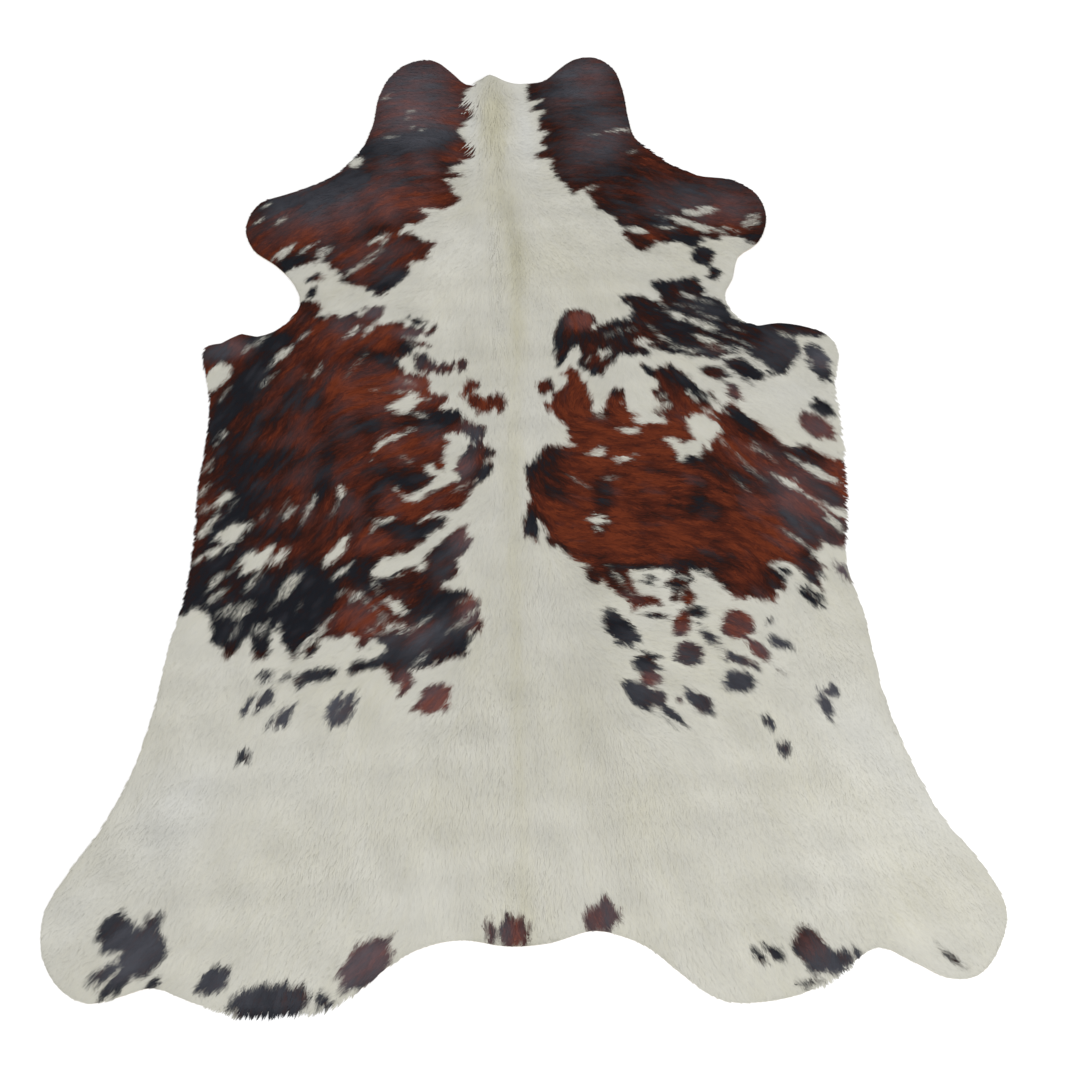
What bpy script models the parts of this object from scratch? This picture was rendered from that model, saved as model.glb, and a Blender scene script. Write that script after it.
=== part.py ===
"""Cowhide rug lying flat: one hair-on hide, cut round its own outline.

Metres, +Z up, +Y from the rump to the neck, +X to the right when the hair side is up.
The underside lies on z = 0, and the middle of the hide's box is on the Z axis.

The hide is one closed slab. Its outline is a smooth closed curve through pairs of features,
one on each side of the spine, and hair locks stand over the rim where the coat is long. Its
upper side is the laid coat: a rounded rim, a crest along the spine that thickens to a mane at
the nape, a parting between two low ridges towards the tail, and soft waves in between.
"""

import math
from collections import namedtuple

import bmesh
import bpy
import numpy as np
from mathutils import Vector
from mathutils.geometry import delaunay_2d_cdt

# Skin and coat
SKIN = 0.0025            # tanned skin with the roots of the coat: the thickness at the rim
COAT = 0.0045            # laid coat over the skin, away from the rim
RIM_ROUND = 0.030        # width over which the coat rounds down to the rim
LOCK_TIP = 0.0014        # thickness at the tip of a lock that stands over the rim

# Spine, from the tail head to the nape
TAIL_HEAD = (0.008, -0.990)
NAPE = (-0.104, 1.020)
CREST = 0.0035           # height of the crest over the coat beside it
CREST_HALF_WIDTH = 0.020
CREST_END = -0.10        # y where the crest has faded out
MANE = 0.0060            # extra height of the mane at the nape
MANE_HALF_WIDTH = 0.045
MANE_END = 0.66          # y where the mane has faded out
PARTING_START = -0.25    # y where the two low ridges begin
PARTING_RIDGE = 0.0020   # their height
PARTING_OFFSET = 0.038   # from the spine to each ridge
PARTING_HALF_WIDTH = 0.022

# Soft waves of the coat: height, wavelength, direction in degrees, phase in radians
Wave = namedtuple("Wave", "height length heading phase")
WAVES = (
    Wave(0.0006, 0.31, 20.0, 0.4),
    Wave(0.0005, 0.23, 75.0, 1.9),
    Wave(0.0004, 0.17, 130.0, 3.1),
)

# Mesh
RIM_STEP = 0.020         # between points of the plain rim
TOP_STEP = 0.038         # between points of the upper side
UNDER_STEP = 0.120       # between points of the flat underside
ROW_STEP = 0.034         # between points along the spine's rows
SHOULDER_INSET = 0.013   # from the rim to the row of points that rounds it

# One feature of the outline on the left and on the right of the spine, nape to tail head
Feature = namedtuple("Feature", "name left right")
FEATURES = (
    Feature("nape beside the mane", (-0.122, 1.003), (-0.040, 1.007)),
    Feature("neck lobe, inner foot", (-0.155, 1.002), (0.028, 1.011)),
    Feature("neck lobe, inner side", (-0.196, 1.046), (0.072, 1.056)),
    Feature("neck lobe, inner crown", (-0.238, 1.084), (0.108, 1.089)),
    Feature("neck lobe, outer crown", (-0.290, 1.081), (0.155, 1.098)),
    Feature("neck lobe, shoulder", (-0.340, 1.038), (0.205, 1.060)),
    Feature("neck lobe, outer side", (-0.369, 0.960), (0.228, 0.980)),
    Feature("neck lobe, foot", (-0.377, 0.870), (0.238, 0.890)),
    Feature("shoulder bay", (-0.400, 0.785), (0.253, 0.822)),
    Feature("shoulder bay, outer side", (-0.435, 0.727), (0.308, 0.760)),
    Feature("foreleg, upper edge", (-0.500, 0.678), (0.390, 0.709)),
    Feature("foreleg, wrist", (-0.568, 0.648), (0.472, 0.694)),
    Feature("foreleg, upper corner", (-0.620, 0.623), (0.527, 0.650)),
    Feature("foreleg, end", (-0.646, 0.555), (0.544, 0.580)),
    Feature("foreleg, lower corner", (-0.622, 0.486), (0.518, 0.507)),
    Feature("foreleg, lower edge", (-0.565, 0.440), (0.470, 0.466)),
    Feature("elbow bay, upper side", (-0.520, 0.388), (0.453, 0.405)),
    Feature("elbow bay, deepest", (-0.501, 0.330), (0.432, 0.358)),
    Feature("elbow bay, lower side", (-0.533, 0.274), (0.448, 0.308)),
    Feature("belly flap, inner edge", (-0.588, 0.247), (0.485, 0.277)),
    Feature("belly flap, swell", (-0.622, 0.255), (0.545, 0.284)),
    Feature("belly flap, upper edge", (-0.662, 0.230), (0.610, 0.271)),
    Feature("belly flap, corner", (-0.693, 0.222), (0.650, 0.247)),
    Feature("belly flap, side", (-0.691, 0.178), (0.664, 0.200)),
    Feature("flank, dent", (-0.667, 0.100), (0.643, 0.122)),
    Feature("flank, top", (-0.657, -0.020), (0.642, 0.030)),
    Feature("flank, swell", (-0.660, -0.110), (0.636, -0.105)),
    Feature("flank, middle", (-0.652, -0.240), (0.626, -0.200)),
    Feature("waist", (-0.655, -0.365), (0.618, -0.290)),
    Feature("waist, lower side", (-0.671, -0.470), (0.642, -0.400)),
    Feature("thigh, top", (-0.679, -0.570), (0.656, -0.546)),
    Feature("thigh", (-0.697, -0.680), (0.681, -0.650)),
    Feature("thigh, spread", (-0.737, -0.793), (0.728, -0.775)),
    Feature("hock", (-0.785, -0.875), (0.785, -0.857)),
    Feature("hind leg, widest", (-0.813, -0.945), (0.814, -0.932)),
    Feature("hind leg, outer side", (-0.800, -1.012), (0.793, -0.990)),
    Feature("hind leg, outer corner", (-0.760, -1.060), (0.750, -1.035)),
    Feature("hind leg, end", (-0.715, -1.079), (0.700, -1.040)),
    Feature("hind leg, inner corner", (-0.665, -1.069), (0.640, -1.012)),
    Feature("notch", (-0.612, -1.055), (0.590, -0.992)),
    Feature("notch, inner side", (-0.550, -1.075), (0.528, -1.026)),
    Feature("buttock, outer side", (-0.485, -1.090), (0.465, -1.060)),
    Feature("buttock, lowest", (-0.405, -1.090), (0.390, -1.076)),
    Feature("buttock, inner side", (-0.330, -1.083), (0.322, -1.073)),
    Feature("rump, fall", (-0.272, -1.058), (0.265, -1.038)),
    Feature("rump, shoulder", (-0.215, -1.014), (0.205, -0.992)),
    Feature("rump arch, outer side", (-0.165, -0.991), (0.160, -0.974)),
    Feature("rump arch, top", (-0.105, -0.981), (0.115, -0.966)),
    Feature("tail head", (-0.030, -0.991), (0.040, -0.986)),
)
MANE_TUFT = ((-0.068, 1.019), (-0.100, 1.038), (-0.116, 1.026))

# Runs of hair locks over the rim. reach is how far a lock stands past the skin, pitch the
# distance from lock to lock, and heading the way the hair lies there, in degrees from +X.
LockRun = namedtuple("LockRun", "side first last reach pitch heading")
LOCK_RUNS = (
    LockRun("left", "belly flap, side", "waist, lower side", 0.010, 0.034, 228.0),
    LockRun("right", "belly flap, side", "waist", 0.016, 0.036, 312.0),
    LockRun("left", "buttock, outer side", "rump, fall", 0.016, 0.026, 266.0),
    LockRun("right", "notch, inner side", "notch, inner side", 0.012, 0.024, 292.0),
    LockRun("right", "shoulder bay", "shoulder bay, outer side", 0.010, 0.040, 20.0),
)
GOLDEN = 0.618034        # step of the even spread that varies the locks' reach

COAT_COLOUR = (0.62, 0.60, 0.52, 1.0)
COAT_ROUGHNESS = 0.75


def smooth_closed(points, step):
    """Points about step apart on the closed centripetal Catmull-Rom curve through points."""
    rows = []
    count = len(points)
    for i in range(count):
        p0, p1, p2, p3 = (np.array(points[(i + k) % count]) for k in (-1, 0, 1, 2))
        t1 = math.sqrt(np.linalg.norm(p1 - p0))
        t2 = t1 + math.sqrt(np.linalg.norm(p2 - p1))
        t3 = t2 + math.sqrt(np.linalg.norm(p3 - p2))
        pieces = max(1, round(np.linalg.norm(p2 - p1) / step))
        for t in np.linspace(t1, t2, pieces, endpoint=False):
            a1 = (t1 - t) / t1 * p0 + t / t1 * p1
            a2 = (t2 - t) / (t2 - t1) * p1 + (t - t1) / (t2 - t1) * p2
            a3 = (t3 - t) / (t3 - t2) * p2 + (t - t2) / (t3 - t2) * p3
            b1 = (t2 - t) / t2 * a1 + t / t2 * a2
            b2 = (t3 - t) / (t3 - t1) * a2 + (t - t1) / (t3 - t1) * a3
            rows.append((t2 - t) / (t2 - t1) * b1 + (t - t1) / (t2 - t1) * b2)
    return np.array(rows)


def skin_outline():
    """The cut edge of the skin, counter-clockwise from the nape, without locks."""
    left = [f.left for f in FEATURES]
    right = [f.right for f in reversed(FEATURES)]
    return smooth_closed(left + right + list(MANE_TUFT), RIM_STEP)


def nearest(curve, point):
    """Index of the curve's point that lies nearest to point."""
    return int(np.argmin(np.linalg.norm(curve - np.array(point), axis=1)))


def run_ends(curve, run):
    """First and last index of the stretch of rim that a run of locks covers."""
    side = {f.name: getattr(f, run.side) for f in FEATURES}
    ends = nearest(curve, side[run.first]), nearest(curve, side[run.last])
    if run.first == run.last:
        return ends[0] - 2, ends[0] + 2
    return min(ends), max(ends)


def with_locks(curve):
    """The rim with its locks, as an array of points and the thickness at each of them."""
    runs = sorted((*run_ends(curve, run), run) for run in LOCK_RUNS)
    points, thickness = [], []
    at = 0
    for first, last, run in runs:
        points += list(curve[at:first])
        thickness += [SKIN] * (first - at)
        stretch = curve[first:last + 1]
        along = np.concatenate(([0.0], np.cumsum(np.linalg.norm(np.diff(stretch, axis=0), axis=1))))
        locks = max(1, round(along[-1] / run.pitch))
        heading = math.radians(run.heading)
        way = np.array((math.cos(heading), math.sin(heading)))
        for k in range(locks):
            foot, middle = ((k + share) * along[-1] / locks for share in (0.0, 0.45))
            root = [np.array([np.interp(s, along, stretch[:, axis]) for axis in (0, 1)])
                    for s in (foot, middle)]
            reach = run.reach * (0.55 + 0.45 * ((k * GOLDEN) % 1.0))
            points += [root[0], root[1] + way * reach]
            thickness += [SKIN, LOCK_TIP]
        at = last
    points += list(curve[at:])
    thickness += [SKIN] * (len(curve) - at)
    return np.array(points), np.array(thickness)


def rim_distance(points, rim):
    """Distance of each point to the nearest edge of the closed polygon rim."""
    a, b = rim, np.roll(rim, -1, axis=0)
    along = b - a
    offset = points[:, None, :] - a[None, :, :]
    share = (offset * along).sum(axis=2) / (along ** 2).sum(axis=1)
    foot = a + np.clip(share, 0.0, 1.0)[:, :, None] * along
    return np.linalg.norm(points[:, None, :] - foot, axis=2).min(axis=1)


def inside(points, rim):
    """True for each point that lies inside the closed polygon rim."""
    x, y = points[:, 0][:, None], points[:, 1][:, None]
    (x0, y0), (x1, y1) = rim.T, np.roll(rim, -1, axis=0).T
    spans = (y0 > y) != (y1 > y)
    rise = np.where(y1 == y0, 1.0, y1 - y0)
    crossings = spans & (x < x0 + (y - y0) / rise * (x1 - x0))
    return crossings.sum(axis=1) % 2 == 1


def spine_x(y):
    """X of the spine at y."""
    share = (y - TAIL_HEAD[1]) / (NAPE[1] - TAIL_HEAD[1])
    return TAIL_HEAD[0] + share * (NAPE[0] - TAIL_HEAD[0])


def fade(value, start, end):
    """Smooth step from 0 at start to 1 at end."""
    share = np.clip((value - start) / (end - start), 0.0, 1.0)
    return share * share * (3.0 - 2.0 * share)


def coat_height(points, distance):
    """Height of the coat's surface over the floor, for points at a distance from the rim."""
    x, y = points.T
    inward = np.clip(distance / RIM_ROUND, 0.0, 1.0)
    rounded = np.sqrt(1.0 - (1.0 - inward) ** 2)
    off = x - spine_x(y)
    crest = CREST * fade(y, CREST_END, 0.25) * np.exp(-((off / CREST_HALF_WIDTH) ** 2))
    mane = MANE * fade(y, MANE_END, 0.90) * np.exp(-((off / MANE_HALF_WIDTH) ** 2))
    ridge = np.exp(-(((np.abs(off) - PARTING_OFFSET) / PARTING_HALF_WIDTH) ** 2))
    parting = PARTING_RIDGE * fade(-y, -PARTING_START, 0.60) * ridge
    waves = sum(
        w.height * np.sin(math.tau / w.length * (x * math.cos(math.radians(w.heading))
                                                 + y * math.sin(math.radians(w.heading))) + w.phase)
        for w in WAVES)
    return SKIN + rounded * (COAT + crest + mane + parting + waves)


def shoulder_row(curve):
    """Points inside the smooth rim that round it, left out where they would crowd it."""
    ahead, behind = np.roll(curve, -1, axis=0), np.roll(curve, 1, axis=0)
    along = ahead - behind
    inward = np.stack((-along[:, 1], along[:, 0]), axis=1)
    inward /= np.linalg.norm(inward, axis=1)[:, None]
    return (curve + SHOULDER_INSET * inward)[::2]


def spine_rows():
    """Points along the crest of the spine and along both ridges beside it."""
    count = int((NAPE[1] - TAIL_HEAD[1]) / ROW_STEP)
    y = np.linspace(TAIL_HEAD[1], NAPE[1], count)
    offsets = (-PARTING_OFFSET, -CREST_HALF_WIDTH, 0.0, CREST_HALF_WIDTH, PARTING_OFFSET)
    return np.concatenate([np.stack((spine_x(y) + off, y), axis=1) for off in offsets])


def staggered_grid(low, high, step):
    """Points of a grid of even triangles over a box."""
    rise = step * math.sqrt(3.0) / 2.0
    rows = []
    for k, y in enumerate(np.arange(low[1], high[1], rise)):
        x = np.arange(low[0] + step / 2.0 * (k % 2), high[0], step)
        rows.append(np.stack((x, np.full_like(x, y)), axis=1))
    return np.concatenate(rows)


def apart(points, others, gap):
    """The points that keep at least gap to every one of the others."""
    away = np.linalg.norm(points[:, None, :] - others[None, :, :], axis=2).min(axis=1)
    return points[away >= gap]


def well_inside(points, rim, gap):
    """The points inside rim that keep at least gap to it."""
    return points[inside(points, rim) & (rim_distance(points, rim) >= gap)]


def triangles(rim, loose):
    """Triangles, each counter-clockwise, of the region inside rim with loose points in it."""
    points = [Vector(p) for p in np.concatenate((rim, loose))]
    ring = list(range(len(rim)))
    edges = list(zip(ring, ring[1:] + ring[:1]))
    flat, _, faces, origins, _, _ = delaunay_2d_cdt(points, edges, [ring], 1, 1e-7)
    if len(flat) != len(points):
        raise ValueError("outline crosses itself or points coincide")
    order = [o[0] for o in origins]
    return [[order[i] for i in face] for face in faces]


def hide_mesh(name):
    """The hide as one closed mesh: upper side, flat underside and the rim wall between."""
    smooth = skin_outline()
    rim, thickness = with_locks(smooth)
    middle = (rim.min(axis=0) + rim.max(axis=0)) / 2.0
    low, high = rim.min(axis=0), rim.max(axis=0)

    rows = well_inside(spine_rows(), rim, SHOULDER_INSET)
    shoulder = well_inside(shoulder_row(smooth), rim, SHOULDER_INSET * 0.8)
    shoulder = apart(shoulder, rows, TOP_STEP * 0.4)
    grid = well_inside(staggered_grid(low, high, TOP_STEP), rim, SHOULDER_INSET + TOP_STEP * 0.5)
    grid = apart(grid, np.concatenate((rows, shoulder)), TOP_STEP * 0.6)
    loose = np.concatenate((rows, shoulder, grid))
    under = well_inside(staggered_grid(low, high, UNDER_STEP), rim, UNDER_STEP * 0.4)

    mesh = bmesh.new()
    heights = coat_height(loose, rim_distance(loose, rim))
    top = [mesh.verts.new((*(p - middle), z)) for p, z in zip(rim, thickness)]
    top += [mesh.verts.new((*(p - middle), z)) for p, z in zip(loose, heights)]
    bottom = [mesh.verts.new((*(p - middle), 0.0)) for p in np.concatenate((rim, under))]
    for face in triangles(rim, loose):
        mesh.faces.new([top[i] for i in face])
    for face in triangles(rim, under):
        mesh.faces.new([bottom[i] for i in reversed(face)])
    for i in range(len(rim)):
        k = (i + 1) % len(rim)
        mesh.faces.new((bottom[i], bottom[k], top[k], top[i]))
    bmesh.ops.triangulate(mesh, faces=[f for f in mesh.faces if len(f.verts) > 3])
    bmesh.ops.recalc_face_normals(mesh, faces=mesh.faces)
    data = bpy.data.meshes.new(name)
    mesh.to_mesh(data)
    mesh.free()
    data.shade_smooth()
    data.set_sharp_from_angle(angle=math.radians(40.0))
    return data


def coat_material():
    """The coat's ground colour: creamy white, matt."""
    material = bpy.data.materials.new("coat")
    material.use_nodes = True
    shader = material.node_tree.nodes["Principled BSDF"]
    shader.inputs["Base Color"].default_value = COAT_COLOUR
    shader.inputs["Roughness"].default_value = COAT_ROUGHNESS
    shader.inputs["Metallic"].default_value = 0.0
    return material


def main():
    """Clear the scene and add the hide."""
    for old in list(bpy.data.objects):
        bpy.data.objects.remove(old, do_unlink=True)
    hide = bpy.data.objects.new("hide", hide_mesh("hide"))
    hide.data.materials.append(coat_material())
    bpy.context.scene.collection.objects.link(hide)


main()
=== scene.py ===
"""Looks of a cowhide rug lying flat: tanned skin, laid coat with its natural patches, and mane.

Metres, +Z up, +Y from the rump to the neck. The hide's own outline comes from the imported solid.
The coat is made of closed tapering locks that lie the way the hair lies on the hide. The patches
are tables of outlines and spots in millimetres, whose edges are combed along the hair.
"""

import logging
import math
from dataclasses import dataclass, field, replace
from enum import Enum

import bpy
import numpy as np
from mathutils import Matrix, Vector
from mathutils.geometry import delaunay_2d_cdt

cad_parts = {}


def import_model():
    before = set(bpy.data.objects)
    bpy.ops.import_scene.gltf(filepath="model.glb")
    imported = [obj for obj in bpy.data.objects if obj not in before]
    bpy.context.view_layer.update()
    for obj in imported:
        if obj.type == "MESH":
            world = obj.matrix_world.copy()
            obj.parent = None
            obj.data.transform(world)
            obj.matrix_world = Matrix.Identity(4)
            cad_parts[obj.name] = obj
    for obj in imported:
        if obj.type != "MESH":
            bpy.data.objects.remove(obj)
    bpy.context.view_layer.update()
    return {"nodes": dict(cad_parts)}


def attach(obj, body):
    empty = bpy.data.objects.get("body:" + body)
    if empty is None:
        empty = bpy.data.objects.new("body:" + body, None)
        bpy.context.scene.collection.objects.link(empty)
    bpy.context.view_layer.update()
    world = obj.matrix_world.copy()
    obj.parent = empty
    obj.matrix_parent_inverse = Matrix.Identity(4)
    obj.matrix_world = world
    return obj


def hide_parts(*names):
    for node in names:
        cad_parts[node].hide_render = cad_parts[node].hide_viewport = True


log = logging.getLogger("cowhide")

Array = np.ndarray
Colour = tuple[float, float, float]
Piece = bpy.types.Object
Socket = bpy.types.NodeSocket
Random = np.random.Generator

# Place on the floor right under the photograph's viewpoint
VIEW_FOOT = (0.0244, -1.1520)
MILLIMETRES = 1000.0


# ---------------------------------------------------------------- how the hair lies

# Rows: a place on the hide, the heading of its hair in degrees from +X, and how far it is felt
LIES = np.array((
    # spine and mane, all towards the tail
    (-100, 1000, 270, 40), (-95, 900, 270, 40), (-85, 800, 270, 40), (-80, 700, 270, 45),
    (-70, 600, 268, 50), (-50, 500, 265, 60), (-40, 400, 268, 60), (-30, 300, 280, 50),
    (-35, 200, 270, 50), (-35, 100, 270, 50), (-30, 0, 270, 45), (-30, -100, 268, 45),
    (-30, -200, 268, 45), (-25, -300, 268, 45), (-20, -450, 269, 70), (-15, -600, 270, 80),
    (-10, -750, 270, 90), (-5, -900, 270, 90),
    # neck lobes and shoulders
    (-160, 1000, 150, 50), (-165, 850, 152, 50), (-170, 740, 165, 50), (-270, 1020, 178, 70),
    (-260, 860, 188, 70), (-350, 960, 200, 60), (-200, 650, 190, 60), (-380, 740, 205, 70),
    (-480, 640, 212, 80), (10, 950, 30, 45), (30, 800, 25, 50), (75, 700, 8, 50), (130, 1020, 5, 70),
    (140, 880, 355, 70), (220, 880, 345, 60), (200, 720, 345, 70), (330, 700, 338, 70),
    (140, 620, 335, 60),
    # left foreleg, elbow and flap
    (-570, 570, 226, 80), (-330, 520, 220, 70), (-450, 480, 222, 70), (-250, 450, 222, 70),
    (-180, 500, 235, 70), (-150, 350, 245, 70), (-360, 280, 222, 60), (-530, 210, 234, 70),
    (-455, 160, 243, 50), (-640, 170, 240, 60), (-470, 360, 225, 60),
    # left body
    (-300, 100, 192, 50), (-230, 170, 250, 40), (-120, 200, 262, 50), (-630, 10, 242, 60),
    (-620, -150, 231, 50), (-580, -220, 226, 50), (-435, -160, 246, 50), (-500, 0, 240, 60),
    (-350, -30, 215, 60), (-380, -270, 235, 50), (-465, -335, 238, 50), (-200, -100, 207, 50),
    (-130, -150, 216, 45), (-220, -250, 212, 50), (-150, -430, 222, 50), (-300, -400, 222, 60),
    (-400, -520, 224, 60), (-170, -565, 222, 50), (-345, -585, 238, 50), (-560, -470, 243, 60),
    (-460, -600, 240, 60), (-510, -670, 256, 60), (-620, -350, 232, 60),
    # right shoulder and body
    (80, 500, 310, 70), (100, 380, 290, 60), (280, 500, 325, 70), (370, 570, 338, 60),
    (515, 580, 25, 35), (470, 640, 345, 50), (380, 440, 320, 50), (80, 220, 243, 45),
    (140, 160, 246, 40), (260, 160, 300, 45), (160, 290, 300, 50), (350, 290, 335, 60),
    (500, 210, 330, 60), (600, 200, 320, 50), (150, -50, 352, 60), (60, -120, 335, 40),
    (150, -200, 352, 60), (280, -100, 355, 60), (290, -230, 350, 60), (400, -50, 315, 50),
    (350, -320, 342, 50), (450, -300, 312, 50), (580, -100, 323, 60), (600, 70, 315, 50),
    (450, -150, 330, 60), (300, -450, 350, 50), (175, -420, 343, 45), (280, -600, 325, 60),
    (450, -500, 308, 60), (465, -655, 280, 60), (550, -570, 292, 60), (600, -400, 300, 60),
    # hindquarters
    (-300, -720, 257, 100), (-550, -820, 246, 100), (-700, -900, 232, 80), (-650, -1000, 229, 60),
    (-515, -1045, 226, 50), (-420, -1050, 252, 50), (-265, -1020, 232, 50), (-30, -970, 268, 40),
    (120, -940, 293, 50), (250, -750, 283, 100), (500, -820, 293, 100), (700, -900, 305, 80),
    (395, -1000, 300, 50), (475, -980, 302, 50), (715, -1010, 315, 60),
)) / (MILLIMETRES, MILLIMETRES, 1.0, MILLIMETRES)


@dataclass(frozen=True)
class Fringe:
    """A stretch of the rim, by its middle and half sizes, and how far the coat hangs over it."""

    x: float
    y: float
    half_width: float
    half_height: float
    reach: float


FRINGES = (
    Fringe(-0.68, -0.15, 0.05, 0.36, 0.008), Fringe(0.65, -0.08, 0.06, 0.24, 0.015),
    Fringe(-0.37, -1.09, 0.13, 0.05, 0.016), Fringe(0.52, -1.04, 0.05, 0.04, 0.011),
    Fringe(0.28, 0.79, 0.04, 0.04, 0.010), Fringe(-0.41, 0.75, 0.03, 0.04, 0.008),
    Fringe(-0.09, 1.03, 0.04, 0.03, 0.004), Fringe(-0.69, 0.20, 0.03, 0.04, 0.006),
)
# How far the coat hangs over the rest of the rim
PLAIN_FRINGE = 0.002


# ---------------------------------------------------------------- natural patches

class Hair(Enum):
    """Colours of hair on this hide. The value is how dark it is, from rust 0 to black 1."""

    CREAM = -1.0
    RUST = 0.18
    RED_BROWN = 0.40
    BROWN = 0.62
    BLACK = 0.95


@dataclass(frozen=True)
class Patch:
    """A large patch of one hair, with its outline in mm, run round in either direction."""

    hair: Hair
    outline: tuple[tuple[int, int], ...]

    def ring(self) -> Array:
        """Its outline in metres, as n x 2."""
        return np.array(self.outline) / MILLIMETRES


@dataclass(frozen=True)
class Spot:
    """A place, half its length and half its width, and its length's slope in degrees from +X."""

    x: float
    y: float
    length: float
    width: float
    slope: float


@dataclass(frozen=True)
class Fleck(Spot):
    """Cream hair over a patch. Its share is how much of its hair is cream, at most."""

    share: float


@dataclass(frozen=True)
class Tone(Spot):
    """A soft spot that adds an amount to one quality of the hair in it."""

    amount: float


def listed(kind: type[Spot], rows: tuple[tuple[float, ...], ...]) -> tuple[Spot, ...]:
    """One spot a row, whose first four numbers, its place and half sizes, are in mm."""
    return tuple(kind(*(k / MILLIMETRES for k in row[:4]), *row[4:]) for row in rows)


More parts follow.
